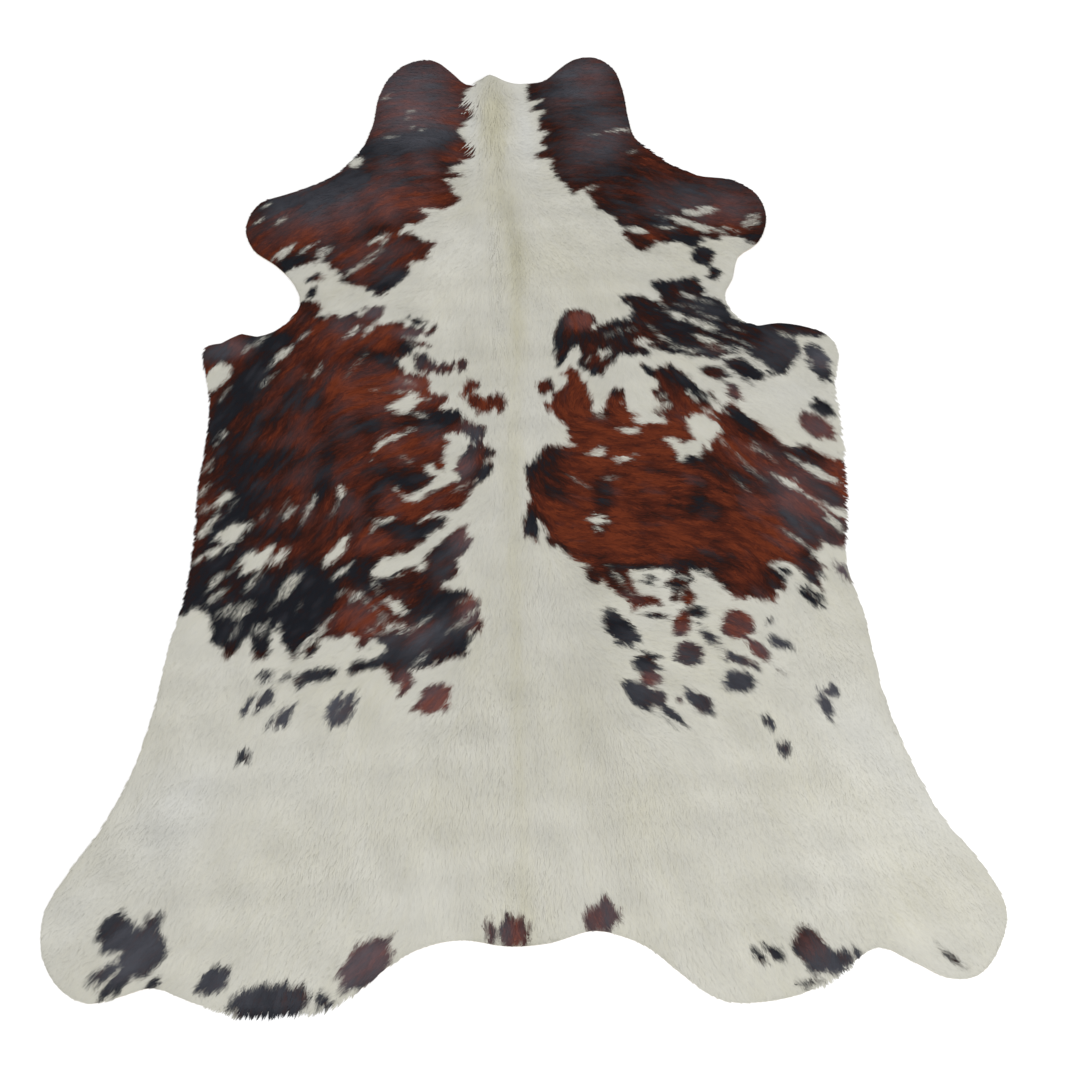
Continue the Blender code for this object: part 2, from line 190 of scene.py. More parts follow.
PATCHES = (
    # left neck and foreleg
    Patch(Hair.RED_BROWN, (
        (-152, 1020), (-138, 998), (-165, 985), (-165, 955), (-125, 925), (-140, 900), (-165, 880),
        (-155, 870), (-180, 850), (-160, 825), (-135, 795), (-135, 770), (-150, 755), (-180, 745),
        (-200, 725), (-155, 710), (-200, 700), (-190, 690), (-180, 660), (-160, 640), (-175, 615),
        (-200, 605), (-220, 610), (-255, 615), (-235, 590), (-245, 575), (-265, 560), (-285, 565),
        (-295, 535), (-260, 540), (-255, 530), (-245, 515), (-205, 510), (-225, 485), (-235, 460),
        (-265, 450), (-275, 415), (-290, 400), (-305, 380), (-315, 370), (-330, 355), (-345, 365),
        (-355, 380), (-375, 380), (-400, 390), (-425, 400), (-425, 420), (-440, 430), (-455, 445),
        (-465, 470), (-500, 440), (-540, 430), (-600, 410), (-700, 480), (-700, 700), (-450, 800),
        (-420, 1000), (-340, 1120), (-180, 1120))),
    # left body
    Patch(Hair.RED_BROWN, (
        (-560, 330), (-500, 345), (-465, 345), (-455, 325), (-462, 308), (-448, 300), (-440, 312),
        (-425, 318), (-414, 298), (-402, 305), (-385, 310), (-370, 308), (-360, 325), (-340, 332),
        (-317, 327), (-320, 305), (-332, 285), (-315, 287), (-295, 290), (-275, 288), (-258, 276),
        (-235, 270), (-205, 270), (-203, 255), (-225, 250), (-262, 247), (-245, 238), (-220, 236),
        (-215, 224), (-240, 222), (-252, 216), (-262, 200), (-285, 190), (-273, 172), (-262, 158),
        (-240, 148), (-214, 150), (-208, 138), (-204, 120), (-205, 108), (-195, 100), (-165, 96),
        (-166, 86), (-182, 78), (-188, 68), (-170, 68), (-145, 66), (-130, 55), (-125, 42), (-108, 26),
        (-88, 22), (-90, 4), (-96, -10), (-88, -25), (-62, -36), (-65, -48), (-80, -55), (-68, -65),
        (-72, -80), (-85, -98), (-105, -106), (-116, -118), (-121, -135), (-127, -152), (-137, -163),
        (-158, -173), (-190, -180), (-175, -187), (-160, -186), (-163, -196), (-175, -212),
        (-195, -228), (-205, -243), (-220, -250), (-232, -262), (-260, -270), (-285, -278),
        (-290, -292), (-302, -305), (-295, -318), (-270, -318), (-252, -310), (-245, -300),
        (-225, -298), (-206, -300), (-203, -280), (-190, -258), (-172, -238), (-155, -222),
        (-140, -208), (-122, -203), (-122, -220), (-112, -238), (-115, -255), (-130, -272),
        (-138, -282), (-132, -298), (-137, -312), (-150, -322), (-168, -326), (-166, -338),
        (-140, -346), (-128, -342), (-112, -346), (-97, -340), (-103, -356), (-95, -373), (-98, -386),
        (-90, -398), (-80, -417), (-87, -441), (-95, -428), (-106, -434), (-116, -448), (-118, -462),
        (-120, -476), (-140, -483), (-161, -486), (-174, -493), (-182, -500), (-198, -506),
        (-212, -502), (-222, -505), (-210, -526), (-218, -540), (-229, -555), (-238, -553),
        (-240, -533), (-258, -525), (-258, -511), (-280, -503), (-300, -505), (-313, -513),
        (-331, -516), (-338, -505), (-330, -492), (-310, -484), (-285, -482), (-272, -470),
        (-270, -458), (-285, -446), (-300, -447), (-303, -462), (-320, -465), (-328, -455),
        (-323, -446), (-345, -441), (-370, -440), (-392, -446), (-400, -460), (-412, -480),
        (-420, -468), (-430, -475), (-440, -486), (-452, -472), (-463, -458), (-468, -444),
        (-482, -430), (-486, -445), (-484, -470), (-492, -487), (-515, -488), (-520, -470),
        (-525, -452), (-540, -455), (-542, -480), (-560, -488), (-578, -482), (-578, -460),
        (-590, -460), (-598, -452), (-598, -430), (-604, -414), (-610, -400), (-618, -387),
        (-632, -380), (-645, -382), (-655, -393), (-720, -400), (-720, 300))),
    # arm beside the spine
    Patch(Hair.RED_BROWN, (
        (-132, 136), (-118, 142), (-102, 134), (-96, 120), (-112, 111), (-113, 101), (-96, 99),
        (-81, 97), (-66, 104), (-52, 98), (-44, 80), (-50, 63), (-63, 50), (-72, 58), (-88, 53),
        (-110, 49), (-108, 62), (-120, 69), (-136, 78), (-145, 92), (-149, 108), (-143, 124))),
    # spot behind the left body
    Patch(Hair.RUST, (
        (-190, -543), (-162, -534), (-136, -532), (-137, -560), (-150, -583), (-178, -597),
        (-212, -585), (-200, -562))),
    # bay beside the spine
    Patch(Hair.CREAM, (
        (-174, 0), (-155, 6), (-138, 4), (-118, -5), (-118, -18), (-133, -34), (-144, -55),
        (-151, -80), (-148, -100), (-168, -112), (-190, -123), (-212, -137), (-228, -152),
        (-242, -153), (-254, -140), (-234, -136), (-215, -124), (-194, -106), (-182, -97), (-198, -92),
        (-212, -80), (-216, -67), (-198, -66), (-183, -78), (-171, -88), (-173, -72), (-180, -58),
        (-168, -45), (-174, -30), (-164, -15))),
    # right neck and foreleg
    Patch(Hair.BROWN, (
        (-5, 1030), (-5, 1005), (0, 950), (30, 955), (5, 920), (40, 925), (25, 890), (20, 855),
        (50, 850), (25, 820), (45, 800), (10, 770), (55, 765), (55, 735), (70, 700), (80, 690),
        (105, 655), (125, 665), (140, 650), (160, 615), (175, 605), (195, 590), (205, 560), (220, 550),
        (205, 530), (225, 515), (255, 485), (275, 490), (290, 505), (330, 510), (385, 500), (400, 520),
        (430, 525), (480, 530), (500, 510), (560, 500), (620, 600), (560, 720), (350, 780),
        (300, 1000), (200, 1130), (60, 1110))),
    # right shoulder
    Patch(Hair.BLACK, (
        (83, 322), (100, 326), (119, 323), (145, 308), (149, 288), (140, 272), (155, 283), (174, 292),
        (202, 294), (224, 296), (230, 312), (232, 328), (224, 342), (201, 344), (210, 359), (232, 363),
        (253, 361), (275, 345), (290, 350), (290, 362), (285, 376), (268, 398), (289, 411), (308, 400),
        (330, 400), (345, 412), (370, 414), (386, 398), (394, 378), (392, 362), (405, 356), (425, 352),
        (440, 330), (448, 305), (468, 290), (500, 310), (650, 310), (660, 270), (632, 247), (605, 252),
        (585, 255), (582, 240), (587, 226), (590, 203), (571, 188), (564, 173), (552, 157), (514, 148),
        (508, 160), (496, 176), (480, 192), (460, 204), (435, 200), (415, 190), (395, 192), (370, 203),
        (340, 217), (310, 227), (260, 238), (233, 237), (250, 225), (268, 215), (253, 200), (235, 204),
        (217, 199), (203, 208), (181, 187), (167, 172), (163, 157), (155, 146), (134, 150), (119, 160),
        (101, 180), (108, 201), (104, 223), (90, 208), (78, 190), (62, 175), (50, 190), (58, 216),
        (52, 238), (44, 256), (62, 277), (78, 303))),
    # right shoulder spot
    Patch(Hair.BLACK, (
        (418, 190), (442, 203), (464, 198), (486, 178), (503, 154), (500, 136), (480, 131), (458, 142),
        (438, 158), (421, 173))),
    # right body
    Patch(Hair.RUST, (
        (68, 152), (88, 169), (104, 160), (106, 148), (120, 128), (126, 105), (130, 80), (132, 62),
        (143, 54), (157, 59), (161, 79), (164, 94), (172, 109), (186, 116), (205, 114), (202, 97),
        (201, 80), (212, 62), (238, 53), (226, 41), (244, 34), (280, 36), (296, 45), (282, 57),
        (268, 63), (290, 79), (268, 90), (260, 108), (280, 118), (278, 130), (258, 148), (246, 166),
        (239, 181), (262, 166), (277, 174), (300, 178), (320, 170), (346, 148), (365, 127), (379, 107),
        (380, 85), (400, 60), (413, 75), (425, 92), (441, 79), (449, 59), (465, 43), (485, 31),
        (505, 15), (513, -2), (529, -18), (545, -30), (560, -21), (585, -25), (610, -41), (640, -55),
        (700, -80), (700, -180), (630, -255), (606, -248), (583, -244), (575, -260), (565, -270),
        (583, -298), (567, -309), (575, -325), (571, -344), (552, -328), (537, -309), (522, -294),
        (500, -284), (476, -292), (490, -305), (502, -317), (507, -344), (484, -347), (480, -374),
        (453, -363), (403, -363), (388, -344), (373, -325), (350, -306), (323, -302), (324, -325),
        (316, -342), (290, -342), (264, -330), (268, -316), (297, -308), (290, -299), (240, -297),
        (209, -301), (202, -312), (209, -324), (213, -343), (212, -354), (247, -354), (264, -364),
        (262, -374), (225, -378), (205, -389), (194, -362), (175, -347), (163, -335), (148, -320),
        (133, -335), (119, -324), (113, -300), (125, -297), (114, -289), (91, -280), (76, -270),
        (64, -252), (49, -255), (37, -243), (37, -224), (24, -202), (20, -224), (18, -242), (-5, -224),
        (-11, -198), (-3, -182), (-1, -159), (5, -140), (-1, -110), (-3, -83), (2, -62), (16, -48),
        (27, -33), (34, -22), (52, -18), (70, -22), (97, -17), (80, -8), (83, 7), (81, 21), (70, 32),
        (52, 43), (43, 58), (34, 76), (49, 87), (58, 105), (70, 119), (85, 134), (81, 148))),
    # cream in the right body
    Patch(Hair.CREAM, (
        (336, 42), (352, 56), (375, 52), (395, 40), (404, 20), (392, 2), (380, -12), (376, -36),
        (362, -22), (354, -44), (336, -40), (316, -50), (306, -30), (286, -4), (304, -4), (324, -18),
        (340, -10), (348, 8), (338, 24))),
    # upper foreleg, left
    Patch(Hair.BLACK, (
        (-590, 625), (-560, 650), (-500, 690), (-450, 740), (-400, 750), (-360, 720), (-360, 690),
        (-420, 650), (-470, 620), (-500, 590), (-550, 600))),
)

# Spots on the cream ground, by the hair they have
SPOTS = {
    Hair.BLACK: listed(Spot, (
        # left, from the foreleg down
        (-482, 368, 24, 13, 60), (-248, 292, 24, 10, -25), (-484, -520, 22, 11, 50),
        (-398, -518, 50, 12, 10), (-425, -530, 20, 11, 40), (-488, -567, 32, 16, 45),
        (-514, -586, 16, 7, 60), (-453, -602, 32, 14, 50), (-509, -672, 19, 11, 80),
        (-340, -583, 43, 25, 62),
        # right shoulder and flank
        (395, 470, 35, 28, 20), (414, 421, 23, 15, -45), (396, 157, 36, 19, -12),
        (622, 186, 54, 25, -72), (618, 72, 34, 16, -48), (300, 222, 64, 14, -14),
        (372, 202, 52, 13, -10),
        # right, behind the body
        (178, -422, 50, 26, -50), (325, -387, 24, 13, -10), (242, -320, 24, 7, 0),
        (255, -394, 30, 8, -5), (348, -439, 30, 10, -45), (404, -485, 36, 10, -20),
        (229, -489, 33, 22, -15), (214, -555, 40, 24, -42), (273, -596, 32, 10, -35),
        (323, -568, 37, 22, -50), (395, -528, 37, 23, -15), (481, -452, 26, 12, -35),
        (462, -409, 14, 10, -40), (472, -508, 24, 8, -55), (442, -606, 17, 9, -70),
        (465, -656, 22, 14, -75), (550, -573, 30, 12, -75), (560, -548, 18, 8, 20),
        (546, -357, 36, 12, -47), (504, -304, 20, 9, -35),
        # hindquarters
        (-690, -970, 40, 31, 60), (-642, -998, 50, 40, 60), (-634, -956, 26, 14, 55),
        (-700, -1030, 32, 10, 35), (-672, -1042, 40, 14, 40), (-515, -1045, 36, 21, 30),
        (-418, -1080, 72, 34, 4), (-372, -1066, 24, 20, 70), (-333, -1076, 18, 14, 30),
        (-618, -1046, 14, 8, 30), (395, -1010, 22, 9, -60), (420, -1000, 18, 8, -40),
        (515, -1012, 56, 19, 15), (475, -1045, 25, 8, 10), (715, -1010, 30, 8, -45),
    )),
    Hair.BROWN: listed(Spot, (
        (-212, 266, 15, 13, -40), (-474, 408, 24, 13, 10), (-222, 176, 36, 19, -55),
        (-182, 167, 46, 18, 0), (-147, 176, 22, 17, -35), (308, -472, 33, 27, -10),
        (244, -560, 24, 14, -50), (478, -991, 38, 28, -50), (560, -320, 22, 10, -45),
        (612, -303, 36, 10, -52), (375, -322, 44, 7, -24), (283, -564, 9, 8, 0),
        (286, -356, 20, 14, -20),
    )),
    Hair.RED_BROWN: listed(Spot, (
        (437, 108, 30, 14, -45), (34, 120, 24, 19, 70), (-266, -1018, 58, 34, 40),
        (-58, -968, 28, 10, 90), (-18, -970, 34, 23, 90), (125, -945, 38, 24, 10),
        (135, -920, 14, 10, 90), (385, 100, 30, 10, -50), (602, 24, 52, 28, -35),
        (412, -490, 30, 7, -18),
    )),
    Hair.RUST: listed(Spot, (
        (312, -360, 20, 17, 0), (299, -408, 30, 19, 75), (404, -414, 36, 32, -60),
        (437, -468, 34, 13, -45), (230, -522, 26, 18, -10),
    )),
}

# Cream hair that shows through the patches
FLECKS = listed(Fleck, (
    # neck and forelegs, left then right
    (-553, 485, 38, 12, 45, 0.9), (-505, 495, 26, 5, 45, 0.7), (-470, 480, 26, 10, 45, 0.6),
    (-335, 524, 34, 12, 40, 0.9), (-352, 480, 28, 5, 42, 0.5), (-393, 431, 34, 6, 40, 0.8),
    (-573, 570, 22, 4, 48, 0.7), (-620, 575, 12, 4, 48, 0.7), (-610, 620, 10, 4, 40, 0.7),
    (-355, 970, 14, 4, 30, 0.6), (-295, 918, 14, 4, 30, 0.6), (-297, 897, 11, 4, 30, 0.6),
    (-290, 865, 13, 5, 20, 0.6), (-262, 858, 10, 4, 20, 0.6), (-333, 833, 20, 4, 5, 0.6),
    (-414, 753, 26, 12, 55, 1.0), (248, 545, 30, 9, -10, 0.9), (398, 602, 36, 12, 8, 0.85),
    (372, 563, 62, 13, -20, 0.9), (315, 553, 26, 5, 0, 0.6), (465, 550, 26, 5, -30, 0.7),
    (512, 572, 34, 13, 48, 0.65), (220, 855, 45, 6, 12, 0.7), (248, 785, 18, 4, 30, 0.4),
    (143, 670, 25, 6, 25, 0.7),
    # left body, upper part
    (-345, 273, 32, 7, 52, 0.8), (-385, 264, 28, 7, 45, 0.7), (-263, 246, 18, 4, -15, 0.5),
    (-248, 229, 14, 5, -30, 0.55), (-248, 98, 30, 9, -10, 1.0), (-264, 70, 32, 14, 25, 1.0),
    (-228, 52, 18, 5, -25, 0.65), (-249, 18, 20, 5, -15, 0.42), (-258, 82, 40, 18, 15, 1.0),
    (-133, 62, 34, 8, 86, 1.0), (-255, 132, 24, 5, -25, 0.4), (-325, 115, 22, 4, 0, 0.4),
    (-372, 174, 36, 5, 60, 0.25), (-453, 160, 22, 6, 68, 0.45), (-476, 148, 14, 4, 60, 0.25),
    (-528, 206, 26, 10, 58, 0.85), (-548, 182, 18, 5, 52, 0.38), (-482, 255, 26, 5, 40, 0.55),
    (-556, 136, 26, 7, 45, 0.4), (-595, 228, 38, 6, 40, 0.48), (-663, 148, 46, 26, 52, 1.0),
    (-640, 105, 24, 6, 60, 0.45), (-633, 6, 28, 9, 60, 0.9), (-642, -20, 16, 5, 70, 0.6),
    (-284, 0, 22, 8, 20, 0.9), (-306, -22, 32, 7, 62, 0.95), (-250, -57, 22, 5, -35, 0.42),
    (-80, -58, 18, 5, 30, 0.6), (-378, -128, 20, 11, -60, 0.95), (-387, -168, 20, 4, 70, 0.3),
    (-288, -193, 20, 5, 5, 0.8), (-308, -205, 16, 5, 60, 0.6), (-200, -187, 20, 6, 35, 0.85),
    (-136, -118, 22, 4, 35, 0.45), (-262, -130, 18, 5, -45, 0.85), (-185, -222, 18, 5, 30, 0.65),
    # left body, lower part
    (-474, -175, 22, 7, 72, 0.66), (-490, -165, 24, 4, 62, 0.36), (-439, -170, 30, 6, 72, 0.62),
    (-530, -186, 20, 4, 60, 0.3), (-654, -72, 22, 8, 60, 0.65), (-655, -125, 20, 6, 60, 0.6),
    (-617, -150, 30, 11, 50, 1.0), (-645, -168, 20, 8, 30, 0.48), (-590, -157, 18, 4, 60, 0.4),
    (-637, -212, 32, 8, 55, 0.85), (-583, -226, 42, 22, 48, 1.0), (-553, -210, 18, 7, 60, 0.6),
    (-618, -264, 44, 11, 38, 1.0), (-645, -280, 24, 10, 40, 0.9), (-572, -298, 28, 4, 55, 0.45),
    (-530, -284, 44, 21, 38, 1.0), (-484, -272, 30, 11, 52, 1.0), (-531, -326, 26, 5, 52, 0.75),
    (-602, -322, 28, 8, 45, 0.7), (-594, -352, 30, 6, 37, 0.6), (-578, -388, 26, 6, 32, 0.52),
    (-546, -386, 26, 7, 36, 0.62), (-463, -336, 30, 8, 58, 0.75), (-487, -374, 24, 4, 55, 0.36),
    (-437, -380, 20, 3, 60, 0.28), (-379, -267, 40, 13, 58, 1.0), (-392, -288, 16, 8, 60, 0.9),
    (-364, -308, 25, 6, 42, 0.85), (-336, -354, 18, 7, -15, 0.55), (-357, -350, 18, 4, 35, 0.5),
    (-294, -338, 20, 5, -60, 0.45), (-258, -377, 30, 10, -38, 1.0), (-285, -390, 36, 5, -40, 0.42),
    (-252, -419, 36, 10, -3, 0.78), (-208, -419, 26, 6, 35, 0.5), (-290, -430, 20, 5, -10, 0.6),
    (-200, -482, 26, 7, 45, 0.48), (-110, -362, 24, 5, 25, 0.48), (-108, -392, 22, 4, 35, 0.5),
    (-134, -419, 28, 5, 38, 0.48), (-403, -438, 40, 6, 50, 0.85), (-120, -232, 18, 4, 60, 0.5),
    (-506, -425, 26, 13, 60, 0.62), (-530, -455, 22, 10, 60, 0.85), (-475, -436, 20, 10, 70, 0.75),
    (-552, -430, 18, 7, 60, 0.38), (-342, -578, 28, 4, 58, 0.42), (-150, -585, 20, 3, 50, 0.35),
    # right shoulder
    (160, 203, 24, 10, 30, 0.8), (186, 260, 26, 5, 25, 0.38), (224, 269, 22, 5, 5, 0.32),
    (290, 252, 30, 5, -45, 0.55), (300, 330, 36, 4, -60, 0.5), (330, 304, 30, 8, -22, 0.95),
    (376, 284, 34, 8, -28, 0.9), (395, 304, 26, 5, -20, 0.55), (352, 331, 30, 4, -10, 0.4),
    (356, 360, 28, 6, -15, 0.85), (390, 344, 26, 4, -25, 0.5), (384, 243, 36, 8, -22, 0.82),
    (420, 226, 26, 6, -20, 0.52), (426, 214, 42, 6, -14, 0.58), (336, 220, 30, 5, -12, 0.6),
    (482, 190, 44, 9, -42, 0.9), (455, 270, 26, 5, -28, 0.55), (440, 248, 36, 4, -25, 0.5),
    (565, 254, 26, 6, -25, 0.65), (480, 228, 22, 4, -30, 0.45), (594, 186, 30, 18, -20, 0.55),
    (128, 190, 16, 5, 60, 0.55),
    # right body
    (210, 12, 25, 8, -5, 1.0), (228, 20, 12, 6, 50, 0.85), (146, -35, 19, 9, -5, 0.9),
    (199, -50, 27, 7, 18, 0.8), (104, -105, 24, 4, -33, 0.55), (171, -99, 16, 4, 0, 0.4),
    (144, -194, 28, 10, -5, 1.0), (143, -211, 16, 6, -45, 0.65), (240, 40, 20, 6, 15, 0.8),
    (282, 70, 22, 5, 25, 0.7), (284, 98, 18, 4, 20, 0.45), (355, 88, 26, 6, -45, 0.7),
    (395, 80, 34, 8, -50, 0.8), (380, 60, 24, 8, -50, 0.85), (150, 50, 18, 4, -10, 0.5),
    (402, -10, 26, 4, -60, 0.5), (450, -68, 32, 4, -50, 0.42), (462, -30, 14, 8, -40, 0.42),
    (556, -62, 30, 6, -45, 0.55), (598, -89, 38, 8, -32, 0.9), (538, -113, 32, 8, -33, 0.9),
    (588, -155, 38, 8, -42, 0.95), (620, -175, 30, 10, -20, 1.0), (612, -200, 26, 6, -50, 0.8),
    (532, -232, 36, 4, -42, 0.5), (585, -280, 30, 12, -42, 1.0), (505, -292, 24, 6, -25, 0.9),
    (340, -312, 24, 5, -20, 0.8), (180, -318, 30, 4, -55, 0.5), (290, -316, 30, 5, -5, 0.6),
    (488, -40, 34, 4, -48, 0.4), (430, -110, 30, 3, -45, 0.35),
))

# Where the coloured hair is darker (to black) or brighter (to rust) than its patch
TONES = listed(Tone, (
    # left neck and foreleg
    (-345, 785, 75, 26, 8, 0.45), (-265, 826, 85, 20, 10, 0.3), (-500, 640, 70, 36, 32, 0.4),
    (-425, 690, 60, 36, 35, 0.4), (-570, 628, 40, 16, 20, 0.35), (-530, 465, 40, 22, 30, 0.35),
    (-330, 1020, 50, 30, 60, 0.22), (-285, 1070, 40, 20, 0, 0.22), (-240, 990, 50, 25, 80, 0.2),
    (-290, 825, 110, 35, 15, 0.5), (-190, 900, 40, 40, 80, -0.12), (-170, 795, 30, 20, 0, -0.18),
    (-200, 745, 50, 13, 0, 0.35), (-250, 705, 60, 10, 5, 0.35), (-275, 630, 80, 35, 10, -0.2),
    (-350, 600, 50, 25, 20, -0.1), (-485, 540, 70, 40, 30, -0.14), (-360, 540, 60, 20, 20, 0.35),
    (-250, 530, 30, 12, 20, 0.3), (-330, 375, 40, 28, 0, 0.45), (-275, 410, 30, 25, 0, 0.4),
    (-415, 410, 30, 22, 0, 0.4), (-520, 450, 50, 20, 20, 0.35), (-620, 620, 40, 30, 30, 0.35),
    # left body, upper part
    (-480, 320, 20, 30, 20, 0.14), (-450, 308, 20, 10, 0, 0.35), (-340, 318, 30, 16, 0, 0.12),
    (-665, 205, 30, 25, 0, 0.42), (-595, 243, 30, 12, 10, 0.45), (-545, 240, 40, 22, 20, 0.42),
    (-580, 165, 85, 36, 68, 0.46), (-615, 80, 80, 36, 65, 0.46), (-645, 20, 60, 20, 88, 0.4),
    (-530, 122, 36, 12, 75, -0.24), (-492, 105, 50, 16, 62, 0.36), (-455, 80, 45, 22, 10, 0.34),
    (-550, 30, 40, 28, 20, 0.26), (-300, 184, 34, 14, -25, 0.5), (-345, 204, 36, 10, 5, 0.28),
    (-265, 222, 20, 20, 0, 0.38), (-330, 248, 50, 28, 0, -0.18), (-310, 118, 100, 40, 5, -0.26),
    (-380, 100, 40, 50, 0, -0.16), (-440, 230, 60, 40, 30, -0.1), (-225, 125, 28, 28, 0, -0.14),
    (-205, 86, 38, 15, 0, -0.18), (-265, 54, 40, 10, 0, 0.22), (-305, 24, 55, 12, 5, 0.32),
    (-370, 20, 45, 30, 40, 0.18), (-188, 40, 50, 18, 8, 0.52), (-150, 56, 26, 10, 0, 0.48),
    (-115, 5, 30, 16, 20, 0.28), (-125, -32, 30, 18, 60, 0.42), (-90, -86, 24, 16, 30, 0.5),
    (-78, -42, 16, 10, 20, 0.35), (-240, -26, 62, 26, 5, -0.28), (-252, -94, 62, 18, -8, 0.5),
    (-238, -120, 36, 10, -12, 0.42), (-360, -50, 50, 70, 0, 0.05), (-312, -140, 34, 14, 80, 0.4),
    (-170, -145, 50, 20, 15, -0.2), (-265, -170, 40, 24, 0, -0.22), (-250, -216, 56, 16, -15, 0.46),
    (-188, -200, 32, 15, 40, 0.56), (-305, -236, 36, 26, 0, -0.22), (-340, -262, 46, 16, 15, -0.18),
    (-132, -230, 30, 18, 55, -0.04), (-168, -285, 40, 30, 60, 0.46),
    # left body, lower part
    (-530, -440, 130, 45, 0, 0.42), (-440, -350, 60, 50, 0, 0.2), (-560, -360, 120, 75, 0, 0.52),
    (-600, -225, 80, 45, 60, 0.5), (-560, -130, 50, 35, 60, 0.4), (-605, -60, 70, 45, 80, 0.32),
    (-530, -55, 65, 30, 10, 0.36), (-418, -110, 80, 16, 85, 0.4), (-475, -128, 65, 30, 8, -0.08),
    (-390, -205, 60, 30, 80, -0.06), (-430, -170, 110, 80, 0, 0.11), (-500, -225, 50, 16, 0, 0.36),
    (-450, -270, 40, 24, 80, -0.04), (-430, -375, 90, 36, 80, 0.5), (-382, -365, 40, 18, 80, 0.48),
    (-325, -302, 62, 30, 5, 0.5), (-318, -402, 52, 36, 30, -0.26), (-265, -336, 50, 16, 5, 0.26),
    (-240, -360, 45, 12, -8, -0.06), (-220, -330, 50, 30, 0, 0.14), (-250, -480, 40, 20, 0, 0.26),
    (-190, -388, 50, 34, 15, 0.48), (-140, -354, 30, 10, 12, 0.48), (-112, -385, 30, 20, 60, -0.18),
    (-160, -452, 55, 26, 20, 0.48), (-250, -458, 40, 26, 0, 0.36), (-200, -490, 30, 14, 20, 0.4),
    (-226, -532, 26, 20, 80, -0.16), (-310, -496, 36, 16, 15, 0.4), (-385, -424, 30, 16, 45, -0.14),
    (-290, -480, 30, 20, 0, 0.3),
    # right neck and foreleg
    (60, 990, 50, 40, 60, 0.22), (140, 900, 60, 50, 30, 0.18), (170, 730, 70, 25, 0, 0.22),
    (425, 660, 70, 20, -10, 0.25), (250, 615, 55, 40, 0, 0.08), (300, 572, 50, 18, 0, 0.28),
    (365, 520, 50, 16, 0, 0.35), (500, 525, 30, 15, 10, 0.35), (460, 600, 60, 60, 0, -0.3),
    (300, 740, 60, 40, -20, -0.16), (280, 535, 20, 15, 0, -0.25), (160, 1050, 60, 40, 0, -0.08),
    # right shoulder
    (112, 292, 34, 30, 40, -0.8), (210, 320, 70, 50, 0, -0.2), (135, 205, 30, 35, 60, -0.4),
    (150, 170, 24, 22, 0, -0.3), (230, 240, 60, 30, 0, -0.22), (310, 250, 50, 30, -25, -0.12),
    (395, 226, 30, 14, -20, -0.34), (560, 272, 80, 12, -5, -0.3), (310, 360, 30, 40, -60, -0.18),
    (395, 157, 30, 20, -10, -0.24),
    # right body
    (155, -142, 44, 20, 85, 0.52), (368, -175, 36, 26, -50, 0.4), (345, -130, 30, 20, 80, 0.3),
    (148, -208, 20, 18, 85, 0.45), (55, -112, 36, 30, -50, 0.58), (34, -50, 50, 30, 40, 0.58),
    (10, -200, 24, 34, 10, 0.6), (10, -100, 16, 50, 0, 0.26), (64, -252, 40, 12, -38, 0.4),
    (126, -316, 18, 20, 0, 0.5), (160, -278, 36, 20, -35, 0.26), (180, -320, 34, 16, -60, 0.36),
    (240, -294, 60, 10, 0, 0.52), (350, -288, 60, 26, 0, 0.56), (295, -326, 34, 18, 0, 0.58),
    (230, -366, 36, 12, 0, 0.22), (480, -322, 34, 26, -20, 0.56), (420, -344, 60, 18, -10, 0.28),
    (554, -276, 24, 16, -30, 0.58), (560, -312, 24, 20, -50, 0.3), (545, -215, 46, 26, -50, 0.46),
    (600, -210, 40, 36, -40, 0.32), (600, -130, 44, 22, -40, 0.48), (460, -108, 70, 24, -25, 0.34),
    (580, -50, 44, 20, -35, 0.42), (480, 10, 80, 14, -45, 0.42), (440, 30, 44, 26, -50, 0.3),
    (395, -70, 70, 24, -50, 0.3), (520, -60, 60, 30, -45, 0.28), (320, -150, 50, 30, 0, 0.26),
    (290, -170, 80, 20, 5, 0.16), (332, -50, 22, 12, -20, 0.6), (190, 108, 24, 14, 5, 0.5),
    (160, 54, 20, 10, 0, 0.3), (320, 145, 60, 24, -35, 0.66), (365, 100, 30, 20, -50, 0.6),
    (250, 160, 20, 20, 0, 0.6), (290, 100, 40, 24, 60, 0.12), (430, -200, 70, 40, -40, 0.06),
    (210, -80, 80, 20, 0, 0.1), (250, -235, 70, 24, 0, 0.06), (90, -200, 60, 40, -40, -0.02),
    (600, 20, 40, 30, -30, -0.08), (435, 105, 30, 20, -40, 0.05),
    # hindquarters
    (-265, -1045, 45, 12, 40, 0.35), (-55, -970, 30, 12, 80, 0.1),
))

